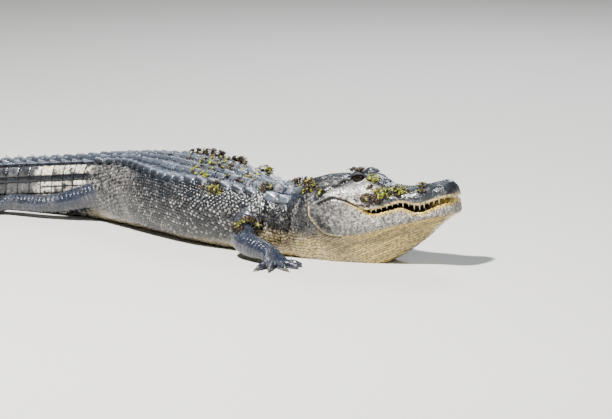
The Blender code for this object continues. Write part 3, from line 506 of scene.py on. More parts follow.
# Scale patterns, each worked out from the place of every point of the skin
def hashed(i, j, seed):
    return (np.sin(i * 127.1 + j * 311.7 + seed * 74.7) * 43758.5453) % 1.0


def cells(u, v, jitter, seed):  # irregular scales: distance inward from the edge, and a random number each
    best = np.full(u.shape, 9.0)
    second = best.copy()
    tint = np.zeros(u.shape)
    row = np.floor(v)
    for dv in (-1, 0, 1):
        j = row + dv
        shift = 0.5 * (j % 2)
        column = np.floor(u - shift)
        for du in (-1, 0, 1):
            i = column + du
            px = i + shift + 0.5 + (hashed(i, j, seed) - 0.5) * jitter
            py = j + 0.5 + (hashed(i, j, seed + 1) - 0.5) * jitter
            gap = np.hypot(u - px, v - py)
            nearer = gap < best
            second = np.where(nearer, best, np.minimum(second, gap))
            tint = np.where(nearer, hashed(i, j, seed + 2), tint)
            best = np.where(nearer, gap, best)
    return second - best, tint


def bricks(u, v, wide, tall, seed):  # rectangular scales: distance to the edge in metres, and a random number
    du = (0.5 - np.abs(u - np.floor(u) - 0.5)) * wide
    dv = (0.5 - np.abs(v - np.floor(v) - 0.5)) * tall
    corner = np.minimum(np.minimum(du, dv), (du * dv) / np.maximum(du + dv, 1e-6) * 2)
    return corner, hashed(np.floor(u), np.floor(v), seed)


def noise(points, size, seed):  # smooth value noise, -1 to 1
    q = points / size
    base = np.floor(q)
    t = q - base
    t = t * t * (3 - 2 * t)
    total = 0.0
    for dx in (0, 1):
        for dy in (0, 1):
            for dz in (0, 1):
                corner = base + (dx, dy, dz)
                value = (np.sin(corner @ (127.1, 311.7, 74.7) + seed * 19.3) * 43758.5453) % 1.0
                share = (t[:, 0] if dx else 1 - t[:, 0]) * (t[:, 1] if dy else 1 - t[:, 1])
                total = total + value * share * (t[:, 2] if dz else 1 - t[:, 2])
    return total * 2 - 1


# The body's surface as a grid of stations by places round the outline, top middle at the centre column
gridStep = 0.006
gridHalf = 91
gridStations = np.arange(head["length"], body["totalLength"] + 1e-6, gridStep)


def makeBodyGrid():
    order = np.arange(-(gridHalf - 1), gridHalf)
    rows = [anyRing(station, gridHalf)[order % (2 * gridHalf - 2)] for station in gridStations]
    points = np.array(rows)
    steps = np.linalg.norm(np.diff(points, axis=1), axis=2)
    arcs = np.concatenate([np.zeros((len(points), 1)), np.cumsum(steps, axis=1)], axis=1)
    return points, arcs - arcs[:, [gridHalf - 1]]


bodyGrid, bodyArcs = makeBodyGrid()


def surfaceAt(station, arc):  # world points on the body, the arc measured from the middle of the back
    row = np.clip((np.asarray(station) - gridStations[0]) / gridStep, 0, len(gridStations) - 1.001)
    i = row.astype(int)
    t = (row - i)[..., None]
    arc = np.asarray(arc, dtype=float)
    reach = np.where(arc >= 0, bodyArcs[i, -1], -bodyArcs[i, 0]) * (1 - row + i)
    reach = reach + np.where(arc >= 0, bodyArcs[i + 1, -1], -bodyArcs[i + 1, 0]) * (row - i)
    column = np.clip(gridHalf - 1 + arc / reach * (gridHalf - 1), 0, 2 * gridHalf - 2.001)
    j = column.astype(int)
    w = (column - j)[..., None]
    near = bodyGrid[i, j] * (1 - w) + bodyGrid[i, j + 1] * w
    far = bodyGrid[i + 1, j] * (1 - w) + bodyGrid[i + 1, j + 1] * w
    return near * (1 - t) + far * t


def surfaceFrame(station, arc):  # points with forward, left and outward axes
    point = surfaceAt(station, arc)
    forward = surfaceAt(np.asarray(station) - 0.004, arc) - surfaceAt(np.asarray(station) + 0.004, arc)
    left = surfaceAt(station, np.asarray(arc) + 0.003) - surfaceAt(station, np.asarray(arc) - 0.003)
    forward = forward / np.linalg.norm(forward, axis=-1, keepdims=True)
    outward = np.cross(forward, left)
    outward = outward / np.linalg.norm(outward, axis=-1, keepdims=True)
    return point, forward, np.cross(outward, forward), outward


def bodyCoords(points):  # station, arc from the middle of the back, and distance off the body's surface
    stations, xs, ys, headings = backbone
    pick = slice(None, None, 4)
    spine = np.stack([xs[pick], ys[pick]], axis=1).astype(np.float32)
    station = np.empty(len(points))
    arc = np.empty(len(points))
    off = np.empty(len(points))
    for start in range(0, len(points), 20000):
        some = points[start:start + 20000]
        gap = (some[:, None, 0] - spine[None, :, 0]) ** 2 + (some[:, None, 1] - spine[None, :, 1]) ** 2
        near = np.argmin(gap, axis=1)
        here = stations[pick][near]
        for _ in range(2):
            angle = np.interp(here, stations, headings)
            px, py = np.interp(here, stations, xs), np.interp(here, stations, ys)
            here = here - ((some[:, 0] - px) * np.cos(angle) + (some[:, 1] - py) * np.sin(angle))
        row = np.clip(np.round((here - gridStations[0]) / gridStep).astype(int), 0, len(gridStations) - 1)
        ring = bodyGrid[row]
        own = some - place(here, 0.0, 0.0)
        shift = own[:, None] - (ring - place(gridStations[row], 0.0, 0.0)[:, None])
        gap = np.einsum("vkc,vkc->vk", shift, shift)
        j = np.clip(np.argmin(gap, axis=1), 1, ring.shape[1] - 2)
        v = np.arange(len(some))
        span = ring[v, j + 1] - ring[v, j - 1]
        size = np.linalg.norm(span, axis=1)
        share = np.einsum("vc,vc->v", shift[v, j], span) / np.maximum(size, 1e-9)
        arc[start:start + 20000] = bodyArcs[row, j] + np.clip(share, -0.006, 0.006)
        off[start:start + 20000] = np.sqrt(np.maximum(gap[v, j] - share**2, 0))
        station[start:start + 20000] = here
    return station, arc, off


def boneCoords(points, bones):  # nearest bone of the legs: length along it, turn about it, kind and radius
    best = np.full(len(points), 9.0)
    length, turn, kind, radius = (np.zeros(len(points)) for _ in range(4))
    for number, bone in enumerate(bones):
        path = bone["path"]
        start = 0.0
        for a, b in zip(path, path[1:]):
            span = b - a
            size = np.linalg.norm(span)
            t = np.clip((points - a) @ span / size**2, 0, 1)
            away = points - a - np.outer(t, span)
            gap = np.linalg.norm(away, axis=1) - bone["radius"]
            nearer = gap < best
            level = np.cross(span / size, (0, 0, 1.0))
            level = level / max(np.linalg.norm(level), 1e-6)
            upward = np.cross(level, span / size)
            best = np.where(nearer, gap, best)
            length = np.where(nearer, start + t * size + number * 0.37, length)
            turn = np.where(nearer, np.arctan2(away @ upward, away @ level), turn)
            kind = np.where(nearer, {"leg": 0, "palm": 1, "toe": 2}[bone["kind"]], kind)
            radius = np.where(nearer, bone["radius"], radius)
            start += size
    return length, turn, kind, radius


def crestOffset(station, whorl):  # distance of the double crest from the middle of the tail
    return along(body["halfWidth"], station) * 0.62 * (1 - 0.75 * ease(11, armour["doubleWhorls"], whorl))


def armourEdge(station):  # arc from the middle of the back to the outer edge of the keeled rows
    wide = (station > armour["wideFrom"]) & (station < armour["wideTo"])
    trunk = along(armour["reach"], station) * np.where(wide, 1.14, 1.20) * 1.05
    whorl = (station - trunkEnd) / armour["whorlSpacing"]
    tail = crestOffset(station, whorl) * 1.06
    return trunk + (tail - trunk) * ease(trunkEnd - 0.10, trunkEnd + 0.02, station)


skinValues = {
    "voxel": 0.0021, "flankScale": 0.0082, "flankRise": 0.0023, "fineScale": 0.0072, "fineRise": 0.0011,
    "bellyWidth": 0.025, "bellyRise": 0.0008, "tailRise": 0.0020, "legScale": 0.0075, "legRise": 0.0005,
    "headScale": 0.0066, "headRise": 0.0008, "foldDepth": 0.0040,
}


def buildSkinBase():
    spans = np.arange(head["length"], body["totalLength"], 0.007)
    rings = [anyRing(station, 61) for station in spans] + [anyRing(body["totalLength"], 61)]
    first = rings[0] - place(head["length"], 0, 0) + place(head["length"] - 0.012, 0, 0)
    first = np.mean(first, axis=0) + (first - np.mean(first, axis=0)) * 0.96
    parts = [tube([first] + rings)]
    backs = np.concatenate([[0.0, 0.002, 0.004, 0.007, 0.010, 0.014], np.arange(0.018, head["length"], 0.004),
                            [head["length"] + 0.003]])
    parts.append(tube([headRing(min(back, head["length"]), 61) for back in backs]))
    parts.append(tube([jawRing(max(0.005, min(back, head["length"])), 61) for back in backs if back > 0.003]))
    bones, tips = [], {}
    for name, leg in legs.items():
        made, legBones, legTips = legParts(leg)
        parts += made
        bones += legBones
        tips[name] = legTips
    item = makeObject("skin", *gather(parts))
    remesh = item.modifiers.new("skin", "REMESH")
    remesh.mode = "VOXEL"
    remesh.voxel_size = skinValues["voxel"]
    mesh = bpy.data.meshes.new_from_object(item.evaluated_get(bpy.context.evaluated_depsgraph_get()))
    item.modifiers.clear()
    item.data = mesh
    return item, bones, tips


skin, bones, clawTips = buildSkinBase()
print("skin base", len(skin.data.vertices), "points")


def headPattern(back, side, up):  # relief and markings of the head, from head coordinates
    s = np.abs(side)
    halfWidth = along(head["halfWidth"], back)
    lipTop = along(head["upperLip"], back)
    lipLow = lipTop - along(head["gape"], back)
    jaw = along(head["jawBottom"], back)
    upper = up > (lipTop + lipLow) / 2
    gaping = 1 - ease(0.215, 0.240, back)
    depthIn = halfWidth - np.where(upper, 0.0035, 0.0085) - s
    inside = np.where(upper, 1 - ease(0.004, 0.010, up - lipTop), 1 - ease(0.004, 0.012, lipLow - up))
    # inside of the mouth, painted dark as shade in the gape; towards the front it gives way to the gums' own
    # cream
    mouth = ease(0, 0.003, depthIn) * inside * gaping * ease(0.006, 0.014, back)
    above, below = up - lipTop, lipLow - up
    xyz = np.stack([back, side, up], axis=1)
    mottle = noise(xyz, 0.011, 3)
    speck = noise(xyz, 0.0042, 5)
    outer = 1 - mouth

    upperBand = np.where(upper, 1 - ease(0.003, 0.0085, above), 0) * outer
    lowerBand = np.where(upper, 0, 1 - ease(0.005, 0.012, below)) * outer
    lipFade = 1 - ease(0.21, 0.30, back)
    onJaw = np.where(upper, 0.0, 1.0) * ease(-0.004, 0.002, up - jaw)
    onThroat = np.where(upper, 0.0, 1.0) * (1 - ease(-0.006, 0.001, up - jaw))
    cheek = ease(0.155, 0.20, back) * (1 - ease(0.285, 0.33, back))
    cheek = cheek * (1 - ease(-0.026, -0.008, up + 0.06 * (back - 0.24)))
    cheek = np.where(upper, cheek, 0.0) * ease(0.035, 0.055, s)
    snoutSide = np.where(upper, 1 - ease(0.008, 0.020, above), 0.0) * (1 - ease(0.17, 0.21, back))
    templeLine = np.where(upper, bump(up, -0.004, 0.007), 0.0) * ease(0.25, 0.27, back)
    templeLine = templeLine * ease(0.045, 0.055, s)
    jawRear = ease(0.24, 0.31, back)
    drawnOut = np.stack([back * 0.6 + up * 0.5, side * 0.6, up * 1.5 - back * 0.4], axis=1)
    streak = noise(drawnOut, 0.0060, 15)
    pale = 0.68 * cheek * (1 + 0.9 * streak) + 0.15 * snoutSide * (0.8 + 0.9 * mottle) + 0.20 * templeLine
    underLip = bump(back, 0.21, 0.045) * ease(0.3, 0.8, (up - jaw) / (lipLow - jaw))
    pale = pale + onJaw * (0.62 - 0.28 * jawRear + 0.22 * underLip)
    pale = pale + (0.30 - 0.06 * ease(0.24, 0.33, back)) * onThroat
    speckled = onJaw + 0.5 * cheek + 0.6 * snoutSide
    pale = pale * (1 + 0.35 * mottle) - 0.55 * np.clip(speck - 0.05, 0, 1) * speckled
    warm = 0.72 * upperBand * lipFade + 0.95 * lowerBand * lipFade
    jawLine = bump(up, jaw - 0.002, 0.004) * np.where(upper, 0, 1) * ease(0.6, 0.75, s / halfWidth)
    warm = warm + 0.60 * jawLine * (1 - 0.6 * jawRear)
    warm = warm + onThroat * (0.66 - 0.26 * ease(0.20, 0.33, back))
    pale = np.maximum(pale, 0.70 * upperBand + 0.80 * lowerBand * lipFade)
    gums = mouth * (1 - ease(0.045, 0.075, back))
    pale, warm, mouth = pale + (0.25 - pale) * gums, warm + (0.80 - warm) * gums, mouth * (1 - 0.75 * gums)

    groove = np.zeros(len(back))
    tint = np.zeros(len(back))
    rise = np.zeros(len(back))
    around = np.where(upper, s * 0.9 - up, -up - 0.7 * s) + 0.5 * (side > 0)
    size = skinValues["headScale"]
    edge, number = cells(back / (size * 1.15), around / size, 0.75, 11)
    relief = ease(0.02, 0.35, edge)
    scaled = outer * np.where(upper, 0.20 + 0.7 * cheek + 0.4 * ease(0.27, 0.33, back), 0.9) * (1 - onThroat)
    rise += skinValues["headRise"] * scaled * relief
    # darker seams between the head scales: painted shade
    groove += scaled * (1 - ease(0.02, 0.26, edge)) * 0.75
    groove += 0.95 * cheek * ease(0.12, 0.50, -streak) + 0.65 * (onJaw + snoutSide) * ease(0.20, 0.60, -speck)
    tint += (number - 0.5) * scaled
    drift = (up - 0.30 * (0.25 - back)) / 0.0056 + 0.35 * noise(xyz, 0.022, 13)
    line, lineNumber = bricks(back / 0.034 + 0.37 * np.floor(drift), drift, 0.034, 0.0056, 12)
    relief = ease(0.0, 0.0018, line)
    rise += 0.0011 * onThroat * relief
    groove += onThroat * (1 - relief) * 0.95
    tint += (lineNumber - 0.5) * onThroat * 0.8
    top = np.where(upper, 1.0, 0.0) * outer * (1 - cheek)
    rise += top * (0.0007 * noise(xyz, 0.0065, 7) + 0.0009 * noise(xyz, 0.014, 8)) * ease(0.004, 0.012, above)

    wide = 0.0026 + 0.0016 * ease(0.25, 0.30, back)
    outerSide = ease(0.6, 0.8, s / halfWidth)
    crease = ease(0.222, 0.238, back) * (1 - ease(0.334, 0.345, back)) * outerSide
    crease = crease * bump(up, lipTop - 0.0005, wide)
    rise -= 0.0050 * crease
    # painted shade in the crease along the mouth line
    groove += 1.4 * crease
    rise += 0.0016 * bump(up, lipTop + 0.0052, 0.0030) * ease(0.20, 0.25, back) * outerSide
    slit = lineGap(back, up, head["earLine"])
    onSide = ease(0.042, 0.050, s)
    rise -= 0.0050 * bump(slit, 0, 0.0026) * onSide
    aboveSlit = ease(0.0, 0.004, up + 0.0025 + 0.47 * (back - 0.262))
    rise += 0.0018 * bump(slit, 0.0055, 0.0032) * onSide * aboveSlit
    # painted shade in the ear slit
    groove += 1.3 * bump(slit, 0, 0.0034) * onSide
    for reach, depth in ((0.0255, 0.0011), (0.0305, 0.0008), (0.0365, 0.0006)):  # wrinkles round the eye
        ring = np.hypot((back - eye["back"]) * 0.80, (up - eye["up"]) * 1.15)
        fold = bump(ring, reach * 0.80, 0.0014) * onSide * ease(-0.030, -0.004, -up) * (0.6 + 0.4 * mottle)
        rise -= depth * fold * np.where(upper, 1, 0)
        # painted shade in the wrinkles
        groove += 0.70 * fold * np.where(upper, 1, 0)
    rim = lineGap(back, up, head["jawEdge"])
    behind = np.where(rim < 0.020, 1.0, 0.0) * ease(0.045, 0.060, s)
    hollowBack = lineGap(back, up, [(b + 0.007, u - 0.004) for b, u in head["jawEdge"]])
    rise += (0.0026 * bump(rim, 0, 0.0035) - 0.0030 * bump(hollowBack, 0, 0.0035)) * behind
    crescent = bump(rim, 0, 0.0027) * behind
    # painted shade in the hollow behind the jaw's rim
    groove += 0.9 * bump(hollowBack, 0, 0.0034) * behind * (1 - crescent)
    pale, warm = np.maximum(pale, 0.75 * crescent), np.maximum(warm, 0.65 * crescent)
    patchGap = lineGap(back, up, [(0.350, -0.077), (0.330, -0.098), (0.311, -0.119)])
    blotch = np.clip(noise(xyz, 0.012, 9) * 2.2 + 0.55, 0, 1.2) * bump(patchGap, 0, 0.012)
    blotch = blotch * ease(0.04, 0.06, s)
    groove += 0.9 * blotch * (1 - crescent)
    gap = np.hypot(back - 0.018, side - 0.0105 * np.sign(side))  # distance from a nostril's middle
    onTop = ease(-0.040, -0.030, up) * np.where(upper, 1, 0)
    rise -= 0.0050 * bump(gap, 0, 0.0042) * onTop
    rise += 0.0014 * bump(gap, 0.0070, 0.0022) * onTop
    # painted shade in the nostrils
    groove += bump(gap, 0, 0.0036) * onTop
    jawRim = np.clip(crescent + 0.8 * bump(hollowBack, 0, 0.0045) * behind, 0, 1)
    return rise, pale, warm, groove, tint, mouth, jawRim


skinFolds = [  # station, slope, width, depth, lowest and highest height
    (0.468, 0.10, 0.0055, 1.00, 0.03, 0.14), (0.438, -0.06, 0.0050, 0.45, 0.00, 0.11),  # behind the jaw
    (0.405, 0.00, 0.0065, 1.30, 0.01, 0.12), (0.560, -0.15, 0.0060, 0.55, 0.03, 0.12),  # at the shoulder
    (0.585, -0.22, 0.0055, 0.40, 0.02, 0.10), (0.612, -0.22, 0.0060, 0.28, 0.02, 0.09),
    (1.045, 0.35, 0.0060, 0.50, 0.02, 0.11), (1.020, 0.40, 0.0060, 0.40, 0.02, 0.10),  # before the hip
    (0.990, 0.40, 0.0060, 0.25, 0.02, 0.09),
]


def bodyPattern(station, arc, height, points):  # relief and markings of neck, trunk and tail
    s = np.abs(arc)
    edgeArc = armourEdge(station)
    reach = np.interp(station, gridStations, bodyArcs[:, -1])
    down = np.clip((s - edgeArc) / np.maximum(reach - edgeArc, 1e-4), -1, 1)
    side = np.where(arc > 0, 1.0, 0.0)
    onTail = ease(trunkEnd - 0.035, trunkEnd + 0.03, station)
    onNeck = 1 - ease(0.47, 0.53, station)
    belly = ease(0.50, 0.62, down) * (1 - onTail)
    flank = (1 - belly) * (1 - onTail)
    nearHip = ease(0.86, 1.00, station) * (1 - onTail)
    mottle = noise(points, 0.020, 21)
    speck = noise(points, 0.0055, 22)

    size = skinValues["flankScale"]
    edge, number = cells(station / (size * 1.30), s / (size * 0.90) + 97 * side, 0.42, 31)
    big = ease(0.03, 0.55, edge)
    fineSize = skinValues["fineScale"]
    fine, fineNumber = cells(station / (fineSize * 0.85), s / (fineSize * 1.5) + 97 * side, 0.5, 33)
    small = ease(0.04, 0.50, fine)
    mix = np.clip(nearHip + 0.65 * onNeck, 0, 1)
    rise = flank * (skinValues["flankRise"] * big * (1 - mix) + skinValues["fineRise"] * small * mix)
    # darker seams between the flank scales: painted shade
    bigGroove, fineGroove = 1 - ease(0.06, 0.46, edge), 1 - ease(0.06, 0.42, fine)
    groove = flank * (bigGroove * (1 - mix) * 1.45 + fineGroove * mix * 1.15)
    tint = flank * ((number - 0.5) * (1 - mix) * 1.3 + (fineNumber - 0.5) * mix * 1.2)

    row = (station - armour["firstRow"]) / armour["rowSpacing"]
    columns = s / skinValues["bellyWidth"]
    rect, rectNumber = bricks(row + 0.5, columns, armour["rowSpacing"], skinValues["bellyWidth"], 35)
    rise += belly * skinValues["bellyRise"] * ease(0, 0.0030, rect)
    # darker seams between the belly scales: painted shade
    groove += belly * (1 - ease(0.0004, 0.0022, rect)) * 0.8
    tint += belly * (rectNumber - 0.5) * 0.6

    # Tall rectangular scales down the tail's sides, each whorl divided by narrower dark rows
    scale = np.clip((reach - edgeArc) / 0.125, 0.12, 1.05)
    fall = (s - edgeArc) / scale
    bounds = np.array([-0.2, 0.009, 0.037, 0.051, 0.082, 0.106, 0.130, 0.40])
    band = np.clip(np.searchsorted(bounds, fall) - 1, 0, len(bounds) - 2)
    within = np.minimum(fall - bounds[band], bounds[band + 1] - fall) * scale
    whorl = (station - trunkEnd - 0.5 * armour["whorlSpacing"]) / armour["whorlSpacing"]
    ringEdge = (0.5 - np.abs(whorl - np.floor(whorl) - 0.5)) * armour["whorlSpacing"]
    cell = np.minimum(within, ringEdge)
    cell = np.where((band == 3) & (station < 1.335), np.minimum(cell, np.abs(fall - 0.0655) * scale), cell)
    tailNumber = hashed(np.floor(whorl), band + 11 * side, 37)
    shape = ease(0.0, 0.0042, cell)
    dark = (band == 2) | (band == 0)
    rise += onTail * skinValues["tailRise"] * np.clip(scale, 0.35, 1) * shape * np.where(dark, 0.45, 1.0)
    # darker seams round the tail scales: painted shade
    groove += onTail * (1 - ease(0.0004, 0.0026, cell)) * np.where(band == 0, 0.5, 1.0)
    tint += onTail * (tailNumber - 0.5) * 0.9
    # paler rows of tall scales, partly their own paler colour and partly a painted sheen
    paleAndSheen = np.where((band == 1) | (band == 3), 1.0, np.where(dark, 0.0, 0.35)) * ease(0.0006, 0.0034, cell)
    paleAndSheen = paleAndSheen * np.clip(0.78 + 1.30 * noise(points, 0.008, 38) + 0.50 * (tailNumber - 0.5), 0.05, 1.3)
    fade = 1 - 0.95 * ease(1.325, 1.365, station)
    # painted shadow under the lateral crest row, one dash a whorl
    crestShadow = np.where(band == 0, 1.0, 0.0) * ease(-0.004, 0.002, fall)
    crestShadow = crestShadow * bump(whorl - np.floor(whorl), 0.5, 0.36)
    groove += onTail * crestShadow + 0.55 * onTail * (band == 2)

    folds = np.zeros(len(s))
    for centre, slope, width, depth, low, high in skinFolds:
        wave = 0.004 * np.sin(height * 60 + centre * 90)
        line = station - centre - slope * (height - 0.07) - wave
        span = ease(low - 0.02, low + 0.02, height) * (1 - ease(high - 0.02, high + 0.02, height))
        folds += depth * bump(line, 0, width) * span
    rise -= skinValues["foldDepth"] * folds
    # painted shade in the skin folds
    groove += 0.7 * folds
    rise += (0.0011 * noise(points, 0.035, 41) + 0.0005 * noise(points, 0.016, 42)) * (1 - 0.6 * onTail)

    # Hollows under the outer plates, sunk and darkened with painted shadow, and lengthwise lines low on the
    # neck
    shadedHollow = bump(s - edgeArc, 0.003, 0.0045) * bump(row - np.floor(row + 0.5), -0.12, 0.30)
    shadedHollow = shadedHollow * (1 - onTail)
    rise -= 0.0026 * shadedHollow
    groove += 1.3 * shadedHollow * ease(0.40, 0.46, station)
    # painted shadow low on the neck in front of the foreleg
    groove += 0.5 * bump(station, 0.433, 0.030) * (1 - ease(0.07, 0.12, height))
    lineRow = s / 0.0080 + 0.25 * np.sin(station * 60)
    lines, _ = bricks(lineRow, station / 0.030 + 0.5 * np.floor(lineRow), 0.0080, 0.030, 39)
    lined = onNeck * (1 - ease(0.055, 0.080, height))
    rise += lined * 0.0010 * ease(0, 0.0022, lines)
    groove += lined * (0.85 * (1 - ease(0.0004, 0.0020, lines)) - groove * 0.7)

    neckLow = onNeck * (1 - ease(0.045, 0.085, height))
    shoulder = bump(station, 0.64, 0.14)
    # painted highlights on the domed scales of the lower flank
    glint = ease(0.30, 0.55, edge) * ease(0.58, 0.70, number) * (1 - mix) * ease(0.0, 0.25, down)
    flankTone = 0.05 + 0.09 * mottle + 0.24 * nearHip - 0.04 * shoulder
    pale = flank * flankTone * ease(-0.10, 0.10, down) + 0.25 * belly
    pale = pale + 0.42 * flank * glint
    pale = pale + onNeck * (0.12 + 0.16 * mottle) * ease(-0.1, 0.2, down) + 0.40 * neckLow
    pale = pale + onTail * paleAndSheen * fade * 1.25
    pale = pale - 0.35 * np.clip(speck, 0, 1) * (flank + onNeck)
    warm = 0.20 * belly + 0.40 * neckLow + 0.10 * onTail * paleAndSheen * fade
    return rise, pale, warm, groove, tint


def legPattern(length, turn, kind, radius, points):  # relief and markings of legs and feet
    size = np.where(kind == 2, 0.0050, skinValues["legScale"])
    across = turn * np.maximum(radius, 0.009) / size
    edge, number = cells(length / (size * 0.85), across * 0.8, 0.45, 51)
    relief = ease(0.03, 0.36, edge)
    rise = skinValues["legRise"] * relief * np.where(kind == 2, 0.7, 1.0)
    ripple = np.sin(2 * pi * length / 0.0125 + 1.6 * noise(points, 0.03, 52)) * np.where(kind == 0, 1.0, 0.3)
    rise = rise + 0.00050 * ripple + 0.0010 * noise(points, 0.022, 53)
    # darker seams and ripple troughs: painted shade
    groove = (1 - ease(0.03, 0.30, edge)) * 0.45 + 0.12 * (1 - ripple)
    tint = (number - 0.5) * 0.7
    # painted highlights along the ripples; the test picks the palms (kind 1), not the leg
    glints = (kind == 1) * ease(0.55, 0.95, ripple) * ease(0.2, 0.6, noise(points, 0.014, 55))  # on the palms
    pale = 0.03 + 0.06 * noise(points, 0.03, 54) + 0.30 * glints
    return rise, pale, np.zeros(len(length)), groove, tint


def finishSkin():
    mesh = skin.data
    points = smoothen(mesh, getCoords(mesh), 3)
    station, arc, off = bodyCoords(points)
    back, side, up = headCoords(points)
    onHead = (1 - ease(head["length"] - 0.012, head["length"] + 0.020, back)) * (np.abs(side) < 0.118)
    onHead = np.where((points[:, 2] < 0.03) & (np.abs(side) > 0.09), 0.0, onHead)
    onLeg = np.where(station < 0.455, ease(0.022, 0.030, off), ease(0.0015, 0.012, off)) * (1 - (onHead > 0))
    points = smoothen(mesh, points, 8, np.clip(bump(off, 0.003, 0.008) * (onLeg > 0), 0, 1))
    setCoords(mesh, points)
    normals = getCoords(mesh, "normal")

    headRise, *headMarks, mouth, jawRim = headPattern(back, side, up)
    onHead = np.maximum(onHead, jawRim * (back < 0.375) * (np.abs(side) < 0.118) * (points[:, 2] > 0.02))
    rise, *bodyMarks = bodyPattern(station, arc, points[:, 2], points)
    rise = rise * (1 - onHead) + headRise * onHead
    marks = {name: own * (1 - onHead) + ofHead * onHead
             for name, own, ofHead in zip(("pale", "warm", "groove", "tint"), bodyMarks, headMarks)}
    legPoints = np.nonzero(onLeg > 0.01)[0]
    length, turn, kind, radius = boneCoords(points[legPoints], bones)
    legRise, *legMarks = legPattern(length, turn, kind, radius, points[legPoints])
    share = onLeg[legPoints]
    rise[legPoints] = rise[legPoints] * (1 - share) + legRise * share
    for values, ofLeg in zip(marks.values(), legMarks):
        values[legPoints] = values[legPoints] * (1 - share) + ofLeg * share
    slate = np.zeros(len(points))
    slate[legPoints] = share

    way = np.sign(side)
    local = np.stack([back - eye["back"], side * way - eye["side"], up - eye["up"]], axis=1)
    distance = np.linalg.norm(local, axis=1)
    across = np.arctan2(local[:, 0], local[:, 1])
    lift = np.arcsin(np.clip(local[:, 2] / np.maximum(distance, 1e-6), -1, 1))
    opening = 1 - ease(0.85, 1.25, np.hypot(across / 1.28, lift / 0.58))
    pocket = opening * (distance < 0.032) * (local[:, 1] > 0.001) * (onHead > 0.5)
    rise = rise * (1 - pocket)
    points = points + normals * rise[:, None]
    centre = headPlace(np.full(len(points), eye["back"]), eye["side"] * way, np.full(len(points), eye["up"]))
    inward = centre + (points - centre) * (np.minimum(distance, 0.0125) / np.maximum(distance, 1e-6))[:, None]
    points = points + (inward - points) * pocket[:, None]
    points[:, 2] = np.maximum(points[:, 2], 0)
    setCoords(mesh, points)
    for name, values in marks.items():
        addMark(mesh, name, np.clip(values, -1, 1.2))
    addMark(mesh, "mouth", np.clip(mouth * onHead, 0, 1))
    addMark(mesh, "slate", slate)
    onArmour = 1 - ease(-0.02, 0.03, np.abs(arc) - armourEdge(station))
    addMark(mesh, "armoured", np.clip((1 - onHead) * (1 - onLeg) * onArmour, 0, 1))
    mesh.shade_smooth()
    return surfaceTree(mesh, points)


skinTree = finishSkin()
print("skin relief")


# Armour: keeled plates in rows across the back, shields on the neck, crests along the tail
plateValues = {
    "grid": 13, "length": 0.0360, "cover": 0.99, "rise": 0.0020, "keel": 0.0050, "sink": 0.006,
    "outerKeel": 1.75, "napeRise": 0.0032, "napeKeel": 0.0115, "pits": 0.0004, "crestThick": 0.0095,
    "seed": 17,
}


def sideToArc(station, side):  # arc of a place on the back that lies a horizontal distance from the middle
    row = int(round((station - gridStations[0]) / gridStep))
    oneSide = slice(gridHalf - 1, gridHalf - 1 + gridHalf // 2)
    ring = bodyGrid[row][oneSide]
    level = np.linalg.norm(ring[:, :2] - ring[0, :2], axis=1)
    return float(np.interp(abs(side), level, bodyArcs[row][oneSide])) * np.sign(side)


def arcSpan(station, near, far, way):  # arcs of two distances from the middle, in rising order
    return sorted((sideToArc(station, near * way), sideToArc(station, far * way)))


def patchMesh(top, down, places):  # closed patch from a grid of top points: skirt pushed down, flat underside
    n, m = top.shape[:2]
    index = np.arange(n * m).reshape(n, m)
    faces = [(index[i, j], index[i + 1, j], index[i + 1, j + 1], index[i, j + 1])
             for i in range(n - 1) for j in range(m - 1)]
    rim = np.concatenate([index[0, :-1], index[:-1, -1], index[-1, :0:-1], index[:0:-1, 0]])
    points = np.concatenate([top.reshape(-1, 3), top.reshape(-1, 3)[rim] + down.reshape(-1, 3)[rim]])
    count = len(rim)
    low = n * m + np.arange(count)
    for k in range(count):
        following = (k + 1) % count
        faces.append((rim[following], rim[k], low[k], low[following]))
    faces.append(tuple(low))
    uv = places.reshape(-1, 2)
    return points, [tuple(reversed(face)) for face in faces], np.concatenate([uv, uv[rim]])


def skinMap(station, arc):  # the skin's own unwrap: station along, arc across
    return np.stack([np.asarray(station) / 2.5, 0.5 + np.asarray(arc)], axis=-1)


# the rim mark is painted shade; it darkens plate edges and the whole skirt
def finishPatch(top, down, places, crest, rim, number):  # patch and its marks; the skirt is all rim, no crest
    points, faces, uv = patchMesh(top, down, places)
    skirt = len(points) - crest.size
    marks = {"crest": np.concatenate([crest.ravel(), np.zeros(skirt)]),
             "rim": np.concatenate([rim.ravel(), np.ones(skirt)]), "number": np.full(len(points), number)}
    return points, faces, uv, marks


